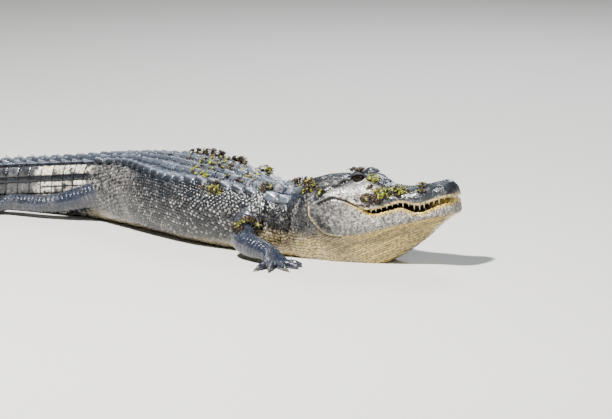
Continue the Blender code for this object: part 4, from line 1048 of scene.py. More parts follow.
def keeledPlate(station, arcIn, arcOut, length, rise, keel, draw, blunt=1.0, shade=0.35):
    n = plateValues["grid"]
    t = np.linspace(-1, 1, n)
    t = np.sign(t) * np.abs(t) ** 0.85
    a, b = np.meshgrid(t, t, indexing="ij")
    x, y = a * np.sqrt(1 - 0.22 * b * b), b * np.sqrt(1 - 0.22 * a * a)
    skew = draw.uniform(-0.03, 0.03)
    stations = station - (x + skew * y) * length / 2
    arcs = (arcIn + arcOut) / 2 + y * (arcOut - arcIn) / 2
    point, _, _, outward = surfaceFrame(stations, arcs)
    edge = np.maximum(np.abs(a), np.abs(b))
    dome = 1 - ease(0.70, 1.0, edge)
    tent = np.clip(1 - np.abs(y) / 0.62, 0, 1) ** (1.5 * blunt)
    profile = 0.30 + 0.70 * ease(0.9, -0.45, x)
    profile = profile * (1 - 0.55 * ease(-0.62, -1.0, x))
    spots = np.stack([stations, arcs, np.zeros_like(arcs)], axis=-1).reshape(-1, 3)
    pits = noise(spots, 0.0045, 61).reshape(n, n) * plateValues["pits"]
    rays = 0.0003 * np.sin(np.arctan2(y, x + 0.3) * 14) * ease(0.2, 0.6, np.hypot(x, y))
    ridge = keel * profile * tent * (1 - ease(0.86, 1.0, edge))
    height = dome * (rise + pits + rays) + ridge - 0.0006 * (1 - dome)
    # painted shade: a dark rim round each plate's edge and, by the shade share, a dark outward face
    leeShade = shade * ease(0.04, 0.34, y * np.sign(arcIn + arcOut)) * ease(0.15, 0.5, profile)
    rim = np.clip(ease(0.62, 0.98, edge) + leeShade, 0, 1.2)
    return finishPatch(point + outward * height[..., None], -outward * plateValues["sink"],
                       skinMap(stations, arcs), profile * tent, rim, draw.uniform(0, 1))


def buildPatches(name, made):  # joins patches into one piece with its map and marks
    item = makeObject(name, *gather([(points, faces) for points, faces, uv, marks in made]))
    addMap(item.data, np.concatenate([uv for points, faces, uv, marks in made]))
    for label in ("crest", "number", "rim"):
        addMark(item.data, label, np.concatenate([marks[label] for points, faces, uv, marks in made]))
    return item


def buildBackArmour(draw):
    made = []
    for row in range(armour["rows"]):
        station = armour["firstRow"] + armour["rowSpacing"] * row
        half = 4 if armour["wideFrom"] < station < armour["wideTo"] else 3
        width = float(along(armour["reach"], station)) / (half - 0.5)
        for k in range(half):
            outerRow = k == half - 1
            for way in (1, -1):
                near, far = (width * (k + 0.5 + end * plateValues["cover"]) for end in (-0.5, 0.5))
                span = arcSpan(station, near, far, way)
                taller = plateValues["outerKeel"] if outerRow else 1.0
                keel = plateValues["keel"] * draw.uniform(0.85, 1.15) * taller
                shift = draw.uniform(-0.0012, 0.0012)
                made.append(keeledPlate(station + shift, *span, plateValues["length"], plateValues["rise"],
                                        keel, draw, shade=1.1 if outerRow else 0.35))
    return buildPatches("back_armour", made)


napeShieldSizes = [  # station, side, length, width
    (0.425, 0.021, 0.036, 0.038), (0.462, 0.022, 0.040, 0.042), (0.462, 0.056, 0.036, 0.028),
    (0.425, 0.054, 0.030, 0.025), (0.388, 0.016, 0.025, 0.025), (0.388, 0.043, 0.023, 0.023),
]


def buildNapeShields(draw):
    made = []
    for station, side, length, width in napeShieldSizes:
        for way in (1, -1):
            span = arcSpan(station, side - width / 2, side + width / 2, way)
            keel = plateValues["napeKeel"] * draw.uniform(0.9, 1.1)
            made.append(keeledPlate(station, *span, length, plateValues["napeRise"], keel, draw, 0.9))
    return buildPatches("nape_shields", made)


def crestScute(station, arc, length, height, thick, lean, draw, upright, sink=0.010):
    nu, nv = 15, 13
    base, forward, left, outward = surfaceFrame(np.array([station]), np.array([arc]))
    base, forward, left, outward = base[0], forward[0], left[0], outward[0]
    if upright:
        outward = np.array([0, 0, 1.0]) - forward * forward[2]
        outward = outward / np.linalg.norm(outward)
        left = np.cross(outward, forward)
    t = np.linspace(0, 1, nu)
    c = np.linspace(-1, 1, nv)
    c = np.sign(c) * np.abs(c) ** 1.25
    tt, cc = np.meshgrid(t, c, indexing="ij")
    profile = np.clip(tt / 0.80, 0, 1) ** 1.15 * (1 - 0.85 * ease(0.84, 1.0, tt)) + 0.04
    wide = 0.5 * thick * np.sqrt(np.clip(1 - (2 * tt - 1) ** 6, 0.05, 1)) * (0.75 + 0.25 * tt)
    up = height * profile * (1 - np.abs(cc) ** 0.72)
    folds = 0.0004 * np.sin(cc * 9 + tt * 5) * (1 - np.abs(cc)) * np.sign(cc)
    sway = 0.04 * height * (1 - np.abs(cc)) * draw.uniform(-1, 1)
    across = wide * np.sign(cc) * np.abs(cc) ** 1.35 + folds + lean * up + sway
    ahead = length * (0.5 - tt) - 0.10 * length * (1 - np.abs(cc)) * tt
    sideways = across + np.sign(cc) * np.abs(cc) ** 3 * 0.0022
    top = base + forward * ahead[..., None] + left * sideways[..., None] + outward * (up - 0.0008)[..., None]
    # the rim mark darkens the crest's lower edges as painted shade
    return finishPatch(top, np.broadcast_to(-outward * sink, top.shape),
                       skinMap(station - ahead, arc + across),
                       (1 - np.abs(cc)) * profile, 0.9 * ease(0.70, 1.0, np.abs(cc)), draw.uniform(0, 1))


crestValues = {
    "length": 0.036, "height": 0.010, "growth": 0.013, "lean": 0.55,
    "singleLength": 0.035, "singleHeight": 0.030, "singleThick": 0.0085, "thinning": 0.004,
    "singleSink": 0.006,
    "plateLength": 0.034, "plateRise": 0.0020, "plateKeel": 0.0055,
}


def buildTailCrests(draw):
    made = []
    c = crestValues
    double = armour["doubleWhorls"]
    for whorl in range(double + armour["singleWhorls"]):
        station = armour["firstRow"] + armour["rowSpacing"] * armour["rows"] + armour["whorlSpacing"] * whorl
        halfWidth = float(along(body["halfWidth"], station))
        if whorl < double:
            height = (c["height"] + c["growth"] * float(ease(0, double, whorl))) * draw.uniform(0.92, 1.08)
            offset = float(crestOffset(station, whorl))
            lean = c["lean"] * (1 - float(ease(8, double, whorl)))
            for way in (1, -1):
                made.append(crestScute(station, sideToArc(station, offset * way), c["length"], height,
                                       plateValues["crestThick"], lean * way, draw, True))
        else:
            share = (whorl - double) / armour["singleWhorls"]
            height = c["singleHeight"] * (1 - 0.72 * share) * draw.uniform(0.94, 1.06)
            thick = c["singleThick"] - c["thinning"] * share
            made.append(crestScute(station, 0.0, c["singleLength"] * (1 - 0.15 * share), height,
                                   thick, 0.0, draw, False, c["singleSink"]))
        if whorl < armour["pairedPlates"]:
            for way in (1, -1):
                span = arcSpan(station, halfWidth * 0.04, halfWidth * 0.38, way)
                keel = c["plateKeel"] * (1 - whorl / 14)
                made.append(keeledPlate(station, *span, c["plateLength"], c["plateRise"], keel, draw))
    return buildPatches("tail_crests", made)


draw = np.random.default_rng(plateValues["seed"])
backArmour = buildBackArmour(draw)
napeShields = buildNapeShields(draw)
tailCrests = buildTailCrests(draw)
print("armour", sum(len(item.data.polygons) for item in (backArmour, napeShields, tailCrests)), "faces")


# Eyes and lids
lidValues = {"reachAcross": 1.34, "reachUp": 0.60, "tilt": -0.12, "brow": 0.0038, "turns": 72}


def eyePoint(way, across, lift, radius):
    x = radius * np.sin(across) * np.cos(lift)
    y = radius * np.cos(across) * np.cos(lift)
    return headPlace(eye["back"] + x, (eye["side"] + y) * way, eye["up"] + radius * np.sin(lift))


def buildEye(way, word):
    rings, turns = 30, 48
    points, faces = [], []
    for r in range(rings + 1):
        away = pi * r / rings
        bulge = 1 + 0.045 * float(bump(away, 0, 0.42))
        for k in range(turns if 0 < r < rings else 1):
            turn = 2 * pi * k / turns
            axis = np.array([sin(away) * cos(turn), cos(away), sin(away) * sin(turn)]) * eye["radius"] * bulge
            spot = eye["back"] + axis[0] - eye["ahead"], (eye["side"] + axis[1]) * way, eye["up"] + axis[2]
            points.append(headPlace(*spot))
    last = len(points) - 1
    for k in range(turns):
        following = (k + 1) % turns
        faces.append((0, 1 + k, 1 + following))
        faces.append((last, last - turns + following, last - turns + k))
        for r in range(rings - 2):
            a = 1 + r * turns
            faces.append((a + k, a + turns + k, a + turns + following, a + following))
    if way < 0:
        faces = [tuple(reversed(face)) for face in faces]
    item = makeObject(f"eyeball_{word}", points, faces)
    back, side, up = headCoords(np.array(points))
    across = back - eye["back"] + eye["ahead"]
    addMark(item.data, "slit", np.abs(across) / 0.0016 + (np.abs(up) / 0.0075) ** 2)
    addMark(item.data, "iris", np.hypot(across, up) / 0.0105 + (np.abs(side) < eye["side"]) * 2.0)
    return item


def buildLids(way, word):
    turns = lidValues["turns"]
    phi = 2 * pi * np.arange(turns) / turns
    ring = []
    # Each line: how far out from the opening, then the radius about the eye's centre
    profile = ((0.93, 0.0150), (0.95, 0.0166), (0.98, 0.0180), (1.03, 0.0190), (1.10, 0.0194), (1.18, 0.0193),
               (1.25, 0.0187), (1.32, 0.0191), (1.42, 0.0194), (1.52, 0.0189), (1.62, 0.0192), (1.75, 0.0190),
               (1.90, 0.0180), (2.05, 0.0160), (1.9, 0.0130), (1.3, 0.0120))
    tilt = lidValues["tilt"]
    for scale, radius in profile:
        upper = np.clip(np.sin(phi), 0, 1)
        across = lidValues["reachAcross"] * np.cos(phi) * (1 + (scale - 1) * 0.42)
        almond = np.sign(np.sin(phi)) * np.abs(np.sin(phi)) ** 1.25
        lift = lidValues["reachUp"] * almond * (1 + (scale - 1) * 1.15) * (1 - 0.10 * (np.sin(phi) < 0))
        lift = lift + tilt * across * 0.5
        bumps = 0.00035 * np.sin(phi * 22 + scale * 9) * ease(1.0, 1.1, scale) * (1 - ease(1.5, 1.8, scale))
        heavy = lidValues["brow"] * upper * bump(scale, 1.12, 0.16)
        ring.append(eyePoint(way, across, lift, radius + bumps + heavy))
    points = np.concatenate(ring)
    rows = len(profile)
    faces = []
    for r in range(rows):
        for k in range(turns):
            a, b = r * turns + k, r * turns + (k + 1) % turns
            c, d = ((r + 1) % rows) * turns + (k + 1) % turns, ((r + 1) % rows) * turns + k
            faces.append((a, b, c, d) if way > 0 else (d, c, b, a))
    item = makeObject(f"eyelids_{word}", points, faces)
    scales = np.repeat([scale for scale, radius in profile], turns)
    below = np.tile(ease(0.10, -0.45, np.sin(phi)), rows)
    toRear = np.tile(np.cos(phi) > 0, rows)
    reach = np.where(toRear, ease(1.90, 1.50, scales), ease(1.50, 1.15, scales))
    corner = np.tile(bump(np.sin(phi), 0, 0.20), rows) * reach
    pale = (1.1 * bump(scales, 1.08, 0.08) + 0.45) * below * (1 - corner) + 0.03
    addMark(item.data, "pale", np.clip(pale, 0, 1.2))
    addMark(item.data, "warm", 0.30 * bump(scales, 1.04, 0.06) * below)
    # the groove mark is painted shade: in the lid folds, on the rows tucked in against the eye and in the
    # corners
    folds = bump(scales, 1.30, 0.05) + bump(scales, 1.55, 0.07) * 0.8
    addMark(item.data, "groove", np.clip(folds + (scales < 0.97) + 1.2 * corner, 0, 1.2))
    return item


eyes = [(buildEye(way, word), buildLids(way, word), word) for way, word in ((1, "left"), (-1, "right"))]
print("eyes and lids")


# Teeth and claws
toothValues = {
    "sides": 10, "rings": 7, "upper": 0.0021, "lower": 0.0016, "lowerTall": 0.0080,
    "upperBacks": (0.0065, 0.016, 0.028, 0.041, 0.054, 0.068, 0.080, 0.093, 0.106, 0.120, 0.133, 0.147, 0.161,
                   0.175, 0.189, 0.201),  # how far each tooth stands behind the snout tip
    "lowerBacks": (0.010, 0.019, 0.030, 0.043, 0.057, 0.072),
}


def horn(root, tip, radius, bend, flat=1.0):  # curved, pointed tooth or claw
    sides, count = toothValues["sides"], toothValues["rings"]
    root, tip, bend = (np.asarray(v, dtype=float) for v in (root, tip, bend))
    axis = (tip - root) / np.linalg.norm(tip - root)
    first = np.cross(axis, (0.31, 0.17, 0.93)) if abs(axis[2]) < 0.9 else np.cross(axis, (0.0, 1.0, 0.0))
    first = first / np.linalg.norm(first)
    second = np.cross(axis, first)
    turn = 2 * pi * np.arange(sides) / sides
    rings = []
    for t in np.linspace(0, 1, count):
        middle = root + (tip - root) * t + bend * 4 * t * (1 - t)
        size = radius * (1 - t**1.7) ** 0.75 + 0.00012
        ring = middle + np.outer(np.cos(turn) * size, first)
        rings.append(ring + np.outer(np.sin(turn) * size * flat, second))
    return tube(rings)


def buildTeeth(draw):
    upper, lower = [], []
    for back in toothValues["upperBacks"]:
        length = 0.0100 + 0.003 * float(bump(back, 0.040, 0.010)) + 0.004 * float(bump(back, 0.087, 0.012))
        length = (length - 0.003 * float(ease(0.11, 0.15, back)) - 0.003 * float(ease(0.03, 0.0, back)))
        length = length * draw.uniform(0.52, 1.12)
        wide = float(along(head["halfWidth"], back)) - 0.0032
        lip = float(along(head["upperLip"], back))
        for way in (1, -1):
            root = headPlace(back, wide * way, lip + 0.006)
            tip = headPlace(back + 0.0012, (wide + 0.0006) * way, lip - length)
            bend = (headPlace(back - 0.0006, (wide + 0.0012) * way, lip) - headPlace(back, wide * way, lip))
            upper.append(horn(root, tip, toothValues["upper"] * (1.2 if length > 0.014 else 1.0), bend))
    for back in toothValues["lowerBacks"]:
        wide = (float(along(head["halfWidth"], back)) - 0.006) * 0.88
        lip = float(along(head["upperLip"], back)) - float(along(head["gape"], back))
        for way in (1, -1):
            root = headPlace(back, wide * way, lip - 0.006)
            tip = headPlace(back - 0.0035, (wide - 0.001) * way,
                            lip + toothValues["lowerTall"] * draw.uniform(0.85, 1.05))
            bend = (headPlace(back, (wide + 0.0010) * way, lip) - headPlace(back, wide * way, lip))
            lower.append(horn(root, tip, toothValues["lower"], bend))
    return makeObject("upper_teeth", *gather(upper)), makeObject("lower_teeth", *gather(lower))


def buildClaws():
    items = []
    for name, tips in clawTips.items():
        claws = []
        for root, tip in tips:
            tip = np.array([tip[0], tip[1], 0.0012])
            claws.append(horn(root + np.array([0, 0, 0.0006]), tip, 0.0043, np.array([0, 0, 0.0016]), 0.8))
        items.append(makeObject(name.replace("leg", "foot") + "_claws", *gather(claws)))
    return items


upperTeeth, lowerTeeth = buildTeeth(draw)
claws = buildClaws()
print("teeth and claws")


# Camera of the photograph, which also places the water-plant bits
cameraValues = {  # degrees and metres, then photo pixels: "snout" is the floor point under the snout tip
    "azimuth": 50.0, "elevation": 10.73, "distance": 9.0, "focal": 3681.0, "frame": 612,
    "snout": (455.7, 265.5), "right": 149.7, "up": 56.0, "sensor": 36.0,
}


def cameraAxes():
    a, e = radians(cameraValues["azimuth"]), radians(cameraValues["elevation"])
    back = np.array([sin(a) * cos(e), -cos(a) * cos(e), sin(e)])
    right = np.array([cos(a), sin(a), 0.0])
    return back, right, np.cross(back, right), place(0.0, 0.0, 0.0) + back * cameraValues["distance"]


# Water-plant bits that cling to the wet back, neck, head and arm, set down on the skin and its plates
plantValues = {
    "leafLength": (0.0095, 0.0165), "leafWidth": 0.62, "thickness": 0.0007, "stemShare": 0.25,
    "share": 0.85, "overhang": 7, "seed": 5,
}
plantPatches = [  # photo pixel across and down, spread across and down, bits, heap height, share of dark bits, some brown and some in painted shade
    (207, 152, 19, 4.0, 210, 0.012, 0.72), (222, 163, 25, 7.5, 620, 0.016, 0.62),
    (195, 170, 4, 4.0, 50, 0.011, 0.12), (204, 175.5, 4, 3.0, 28, 0.009, 0.10),
    (242, 158, 3.5, 2.5, 20, 0.008, 0.70), (243.5, 166, 4, 5.0, 42, 0.010, 0.22),
    (264, 170, 8, 5.0, 150, 0.011, 0.35), (252, 177, 7, 3.5, 80, 0.009, 0.55),
    (242, 180, 6.5, 2.5, 60, 0.008, 0.75), (228, 176, 2, 1.5, 12, 0.006, 0.70),
    (215.5, 188, 8.5, 6.5, 200, 0.014, 0.66), (266, 188, 6, 4.0, 80, 0.010, 0.80),
    (202, 189, 2, 1.0, 5, 0.004, 0.10), (168, 153.5, 5, 2.0, 14, 0.005, 0.80),
    (187, 159, 6, 3.5, 26, 0.005, 0.75), (303, 185, 14, 8.0, 330, 0.020, 0.66),
    (320, 191, 2.5, 3.0, 14, 0.006, 0.90), (357, 169.5, 9, 2.0, 40, 0.005, 0.85),
    (373, 177.5, 6, 4.0, 40, 0.006, 0.05), (370, 187, 2, 2.0, 8, 0.003, 0.80),
    (374.5, 191.5, 1.5, 1.5, 5, 0.003, 0.10), (372, 198, 11, 4.0, 110, 0.006, 0.90),
    (383, 193, 7, 6.0, 100, 0.006, 0.62), (398, 190, 9, 5.5, 140, 0.007, 0.45),
    (422, 184.5, 6, 2.0, 30, 0.007, 0.60), (421.5, 190, 3.5, 1.0, 10, 0.003, 0.75),
    (238, 228, 5, 5.0, 80, 0.008, 0.85), (248, 221, 7, 3.0, 90, 0.008, 0.85),
    (258, 226, 5, 4.0, 45, 0.007, 0.85),
]


def leafShape(length, width, curl, thickness):  # pointed oval, thin and cupped
    turn = 2 * pi * np.arange(10) / 10
    x = 0.5 * length * np.cos(turn)
    y = 0.5 * width * np.sin(turn) * (1 - 0.25 * np.cos(turn))
    z = curl * ((x / length) ** 2 * 4 - 0.3) * length * 0.30
    rim = np.stack([x, y, z], axis=1)
    points = np.concatenate([rim, [[0, 0, thickness], [0, 0, -0.6 * thickness]]])
    faces = [(k, (k + 1) % 10, 10) for k in range(10)] + [((k + 1) % 10, k, 11) for k in range(10)]
    return points, faces


def stemShape(length, bend):  # short strand, four-sided
    t = np.linspace(-0.5, 0.5, 6)
    sway = bend * length
    middle = np.stack([t * length, sway * np.sin(t * 5), sway * 0.4 * np.cos(t * 6)], axis=1)
    rings = []
    for k, point in enumerate(middle):
        size = 0.0007 * (1 - abs(t[k]))
        turn = 2 * pi * np.arange(4) / 4
        rings.append(point + np.stack([np.zeros(4), np.cos(turn) * size, np.sin(turn) * size], axis=1))
    return tube(rings)


def buildPlants():
    draw = np.random.default_rng(plantValues["seed"])
    trees = [skinTree] + [surfaceTree(item.data, getCoords(item.data)) for item in (backArmour, napeShields)]
    back, right, up, spot = cameraAxes()
    shapes, roots, hues = [], [], []
    for x, y, wide, tall, bits, heap, brownAndShade in plantPatches:
        for _ in range(bits):
            turn, far = draw.uniform(0, 2 * pi), np.sqrt(draw.uniform(0, 1))
            across = x + wide * far * cos(turn) - cameraValues["snout"][0]
            down = y + tall * far * sin(turn) - cameraValues["snout"][1]
            hits, above = [], -1
            while not hits and above < plantValues["overhang"]:  # a bit over the outline sits on a pile
                above += 1
                ray = -back + (right * across - up * (down + above)) / cameraValues["focal"]
                hits = [tree.ray_cast(Vector(spot), Vector(ray), 14.0) for tree in trees]
                hits = [hit for hit in hits if hit[0] is not None]
            if not hits:
                continue
            hit = min(hits, key=lambda found: found[3])
            normal = np.array(hit[1])
            tangent = np.cross(normal, draw.normal(size=3))
            tangent = tangent / np.linalg.norm(tangent)
            lean = draw.uniform(-0.6, 0.6)
            outward = normal * cos(lean) + np.cross(normal, tangent) * sin(lean)
            level = draw.uniform(0.0, 1.0)
            if draw.uniform() > plantValues["share"]:
                continue
            # lower bits of a heap are more often dark: painted shade under the heap
            isDarkBit = draw.uniform() < brownAndShade + 0.15 + 0.7 * (0.50 - level)
            size = draw.uniform(*plantValues["leafLength"]) * (1.0 if isDarkBit else 0.85)
            if draw.uniform() < plantValues["stemShare"]:
                shape, faces = stemShape(size * 1.7, draw.uniform(-0.3, 0.3))
            else:
                width = size * plantValues["leafWidth"] * draw.uniform(0.7, 1.15)
                shape, faces = leafShape(size, width, draw.uniform(-0.2, 1.0), plantValues["thickness"])
            base = np.array(hit[0]) + normal * (0.0008 + heap * (1 - far**2) * level)
            base[2] += above * hit[3] / cameraValues["focal"]
            points = base + shape @ np.array([tangent, np.cross(outward, tangent), outward])
            shapes.append((points, faces, shape, size))
            roots.append(np.array(hit[0]))
            hues.append((0.62 if isDarkBit else 0.12) + draw.uniform(-0.12, 0.30))
    station, arc, _ = bodyCoords(np.array(roots))
    uvs = [np.clip(skinMap(s, a) + shape[:, :2] / size * 0.003, 0.0005, 0.9995)
           for (points, faces, shape, size), s, a in zip(shapes, station, arc)]
    item = makeObject("plant_bits", *gather([(points, faces) for points, faces, shape, size in shapes]))
    addMap(item.data, np.concatenate(uvs))
    addMark(item.data, "brownAndShade", np.concatenate([np.full(len(m[0]), hue) for m, hue in zip(shapes, hues)]))
    return item


plantBits = buildPlants()
print("plant bits", len(plantBits.data.polygons), "faces")


# Shader groups
def addNode(tree, kind, spot, settings=None, **values):  # settings of the node, then values of its inputs
    made = tree.nodes.new(kind)
    made.location = spot
    for key, value in (settings or {}).items():
        setattr(made, key, value)
    for key, value in values.items():
        made.inputs[key].default_value = value
    return made


def feed(tree, sockets, terms):  # each term is a number, a colour or an output to link
    for socket, term in zip(sockets, terms):
        if isinstance(term, (float, tuple)):
            socket.default_value = term
        else:
            tree.links.new(term, socket)


def addMath(tree, spot, operation, *terms, clamp=False):
    made = addNode(tree, "ShaderNodeMath", spot, {"operation": operation, "use_clamp": clamp})
    feed(tree, made.inputs, terms)
    return made.outputs[0]


def addRange(tree, spot, value, *ends):  # the ends it comes from, then the ends it goes to
    made = addNode(tree, "ShaderNodeMapRange", spot)
    feed(tree, made.inputs, (value, *ends))
    return made.outputs["Result"]


def addNoise(tree, spot, **values):  # noise in the piece's own space
    where = addNode(tree, "ShaderNodeTexCoord", (spot[0] - 200, spot[1]))
    made = addNode(tree, "ShaderNodeTexNoise", spot, **values)
    tree.links.new(where.outputs["Object"], made.inputs["Vector"])
    return made.outputs["Fac"]


def makeGroup(name, inputs, outputs):
    group = bpy.data.node_groups.new(name, "ShaderNodeTree")
    for way, labels in (("INPUT", inputs), ("OUTPUT", outputs)):
        for label in labels:
            kind = "NodeSocketColor" if label == "Color" else "NodeSocketFloat"
            socket = group.interface.new_socket(label, in_out=way, socket_type=kind)
            if way == "INPUT":
                socket.default_value = inputs[label]
    return group, group.nodes.new("NodeGroupInput").outputs, group.nodes.new("NodeGroupOutput").inputs


def makeGrainGroup():  # fine pebbly relief finer than the modelled scales
    starts = {"Scale": 300.0, "Roughen": 0.5}
    group, given, out = makeGroup("skinGrain", starts, ("Height", "Mottle", "Speckle"))
    where = addNode(group, "ShaderNodeTexCoord", (-900, 0))
    pebbles = addNode(group, "ShaderNodeTexVoronoi", (-600, 200), {"feature": "SMOOTH_F1"},
                      Smoothness=0.35, Randomness=0.9)
    speckle = addNode(group, "ShaderNodeTexNoise", (-600, -100), Detail=6.0, Roughness=0.65)
    finer = addMath(group, (-780, -100), "MULTIPLY", given["Scale"], 2.3)
    for texture, scale in ((pebbles, given["Scale"]), (speckle, finer)):
        group.links.new(where.outputs["Object"], texture.inputs["Vector"])
        group.links.new(scale, texture.inputs["Scale"])
    weigh = addMath(group, (-360, 0), "MULTIPLY", speckle.outputs["Fac"], given["Roughen"])
    height = addMath(group, (-180, 100), "SUBTRACT", weigh, pebbles.outputs["Distance"])
    cloud = addNoise(group, (-600, -400), Scale=38.0, Detail=4.0)
    spots = addNoise(group, (-600, -700), Scale=165.0, Detail=3.0, Roughness=0.7)
    feed(group, out, (height, cloud, addRange(group, (-360, -700), spots, 0.38, 0.62)))
    return group


def makeWetGroup():  # water film: smooth where wet, with drier islands
    starts = {"Wet": 0.22, "Dry": 0.55, "Dryness": 0.0, "Coat": 0.8}
    group, given, out = makeGroup("wetFilm", starts, ("Roughness", "Coat Weight"))
    islands = addNoise(group, (-700, 0), Scale=26.0, Detail=5.0, Roughness=0.6)
    lean = addMath(group, (-500, 0), "ADD", islands, given["Dryness"])
    spread = addRange(group, (-320, 0), lean, 0.42, 0.75)
    rough = addNode(group, "ShaderNodeMix", (-120, 100), {"data_type": "FLOAT"})
    ends = rough.inputs[0], rough.inputs[2], rough.inputs[3]
    feed(group, ends, (spread, given["Wet"], given["Dry"]))
    wetness = addMath(group, (-120, -100), "SUBTRACT", 1.0, spread)
    coat = addMath(group, (60, -100), "MULTIPLY", wetness, given["Coat"])
    feed(group, out, (rough.outputs[0], coat))
    return group


def makeToneGroup():  # varies a colour from scale to scale and darkens it by the groove mark, which holds painted shade in seams, folds and hollows along with dark blotches and specks
    starts = {"Color": (0.1, 0.1, 0.1, 1), "Number": 0.0, "Groove": 0.0, "Depth": 0.75}
    group, given, out = makeGroup("scaleTone", starts, ("Color",))
    vary = addMath(group, (-500, 100), "MULTIPLY_ADD", given["Number"], 0.75, 1.0)
    deep = addMath(group, (-500, -150), "MULTIPLY", given["Groove"], given["Depth"], clamp=True)
    keep = addMath(group, (-300, -150), "SUBTRACT", 1.0, deep, clamp=True)
    tone = given["Color"]
    for spot, factor in (((-300, 100), vary), ((-100, 0), keep)):
        made = addNode(group, "ShaderNodeVectorMath", spot, {"operation": "SCALE"})
        feed(group, (made.inputs[0], made.inputs["Scale"]), (tone, factor))
        tone = made.outputs[0]
    feed(group, out, (tone,))
    return group


grainGroup, wetGroup, toneGroup = makeGrainGroup(), makeWetGroup(), makeToneGroup()


def startMaterial(name, specular=0.5, coatRoughness=0.08):
    material = bpy.data.materials.new(name)
    material.use_nodes = True
    tree = material.node_tree
    shader = tree.nodes["Principled BSDF"]
    shader.inputs["Specular IOR Level"].default_value = specular
    shader.inputs["Coat Roughness"].default_value = coatRoughness
    return material, tree, shader


def useGroup(tree, group, spot, **values):
    return addNode(tree, "ShaderNodeGroup", spot, {"node_tree": group}, **values)


def readMark(tree, name, spot):
    return addNode(tree, "ShaderNodeAttribute", spot, {"attribute_name": name}).outputs["Fac"]


def blendColour(tree, spot, factor, first, second):  # first and second are colours or outputs
    made = addNode(tree, "ShaderNodeMix", spot, {"data_type": "RGBA"})
    ends = [(*end, 1) if isinstance(end, tuple) else end for end in (first, second)]
    feed(tree, (made.inputs[0], made.inputs[6], made.inputs[7]), (factor, *ends))
    return made.outputs[2]


def startSurface(name, looks):  # material with pebbly relief under a water film
    material, tree, shader = startMaterial(name, coatRoughness=looks["coatRoughness"])
    grain = useGroup(tree, grainGroup, (-900, -400), Scale=looks["grain"], Roughen=looks["roughen"]).outputs
    film = useGroup(tree, wetGroup, (100, 0), Wet=looks["wet"], Dry=looks["dry"], Coat=looks["coat"])
    for label in ("Roughness", "Coat Weight"):
        tree.links.new(film.outputs[label], shader.inputs[label])
    relief = addNode(tree, "ShaderNodeBump", (300, -300), Strength=looks["bump"], Distance=looks["bumpDepth"])
    tree.links.new(grain["Height"], relief.inputs["Height"])
    tree.links.new(relief.outputs["Normal"], shader.inputs["Normal"])
    return material, tree, shader, grain, film


def addTone(tree, shader, tone, number, groove=0.0, depth=0.75):  # colour that varies from scale to scale
    made = useGroup(tree, toneGroup, (100, 300))
    feed(tree, made.inputs, (tone, number, groove, depth))
    tree.links.new(made.outputs["Color"], shader.inputs["Base Color"])


skinLooks = {
    # armour is lighter and bluer than slate, partly the back's own colour and partly a painted sheen
    "slate": (0.014, 0.017, 0.023), "armour": (0.026, 0.034, 0.050), "leg": (0.018, 0.024, 0.041),
    "pale": (0.54, 0.505, 0.465), "warm": (0.54, 0.375, 0.062), "mouth": (0.022, 0.013, 0.008),
    "grooveDepth": 0.86, "paleDryness": 0.22, "grain": 200.0, "roughen": 0.55,
    "wet": 0.18, "dry": 0.46, "coat": 0.40, "coatRoughness": 0.08, "bump": 0.55, "bumpDepth": 0.0018,
}


def makeSkinMaterial(name, hasRegions):
    looks = skinLooks
    material, tree, shader, grain, film = startSurface(name, looks)
    tone = looks["slate"]
    if hasRegions:
        armoured, onLeg = readMark(tree, "armoured", (-1300, 400)), readMark(tree, "slate", (-1100, 250))
        tone = blendColour(tree, (-1100, 400), armoured, tone, looks["armour"])
        tone = blendColour(tree, (-900, 400), onLeg, tone, looks["leg"])
    mottle = addMath(tree, (-900, 100), "MULTIPLY_ADD", grain["Mottle"], 0.9, 0.55)
    spots = addMath(tree, (-900, -50), "MULTIPLY_ADD", grain["Speckle"], 0.75, 0.50)
    broken = addMath(tree, (-800, 20), "MULTIPLY", mottle, spots)
    palePart = addMath(tree, (-700, 100), "MULTIPLY", readMark(tree, "pale", (-1100, 50)), broken, clamp=True)
    tone = blendColour(tree, (-500, 300), palePart, tone, looks["pale"])
    tone = blendColour(tree, (-300, 300), readMark(tree, "warm", (-500, 100)), tone, looks["warm"])
    number = addMath(tree, (-100, 150), "MULTIPLY_ADD", grain["Speckle"], 1.0, -0.5)
    if hasRegions:
        # the dark mouth colour is painted shade inside the gape
        tone = blendColour(tree, (-100, 300), readMark(tree, "mouth", (-300, 100)), tone, looks["mouth"])
        number = addMath(tree, (0, 150), "ADD", readMark(tree, "tint", (-100, 50)), number)
    addTone(tree, shader, tone, number, readMark(tree, "groove", (-100, 0)), looks["grooveDepth"])
    dryness = addMath(tree, (-100, -150), "MULTIPLY", palePart, looks["paleDryness"])
    tree.links.new(dryness, film.inputs["Dryness"])
    return material


scuteLooks = {
    # ridge is the colour of a painted highlight along the keels and crests; low and high are lighter than the
    # skin's slate, partly own colour and partly a painted sheen of the back
    "low": (0.028, 0.037, 0.054), "high": (0.110, 0.130, 0.170), "ridge": (0.30, 0.31, 0.32),
    "keelHighlightShare": 0.55, "grain": 420.0, "roughen": 0.8,
    "wet": 0.18, "dry": 0.42, "coat": 0.60, "coatRoughness": 0.08, "bump": 0.45, "bumpDepth": 0.0012,
}


def makeScuteMaterial():
    looks = scuteLooks
    material, tree, shader, grain, _ = startSurface("scute horn", looks)
    crest, number = readMark(tree, "crest", (-900, 200)), readMark(tree, "number", (-700, 0))
    # painted highlight along the crests and keels
    keelHighlight = addRange(tree, (-700, 200), crest, 0.50, 0.95, 0.0, looks["keelHighlightShare"])
    tone = blendColour(tree, (-700, 420), grain["Mottle"], looks["low"], looks["high"])
    tone = blendColour(tree, (-450, 300), keelHighlight, tone, looks["ridge"])
    number = addMath(tree, (-450, 50), "SUBTRACT", number, 0.5)
    # the rim mark darkens with painted shade
    addTone(tree, shader, tone, number, readMark(tree, "rim", (-450, -100)))
    return material


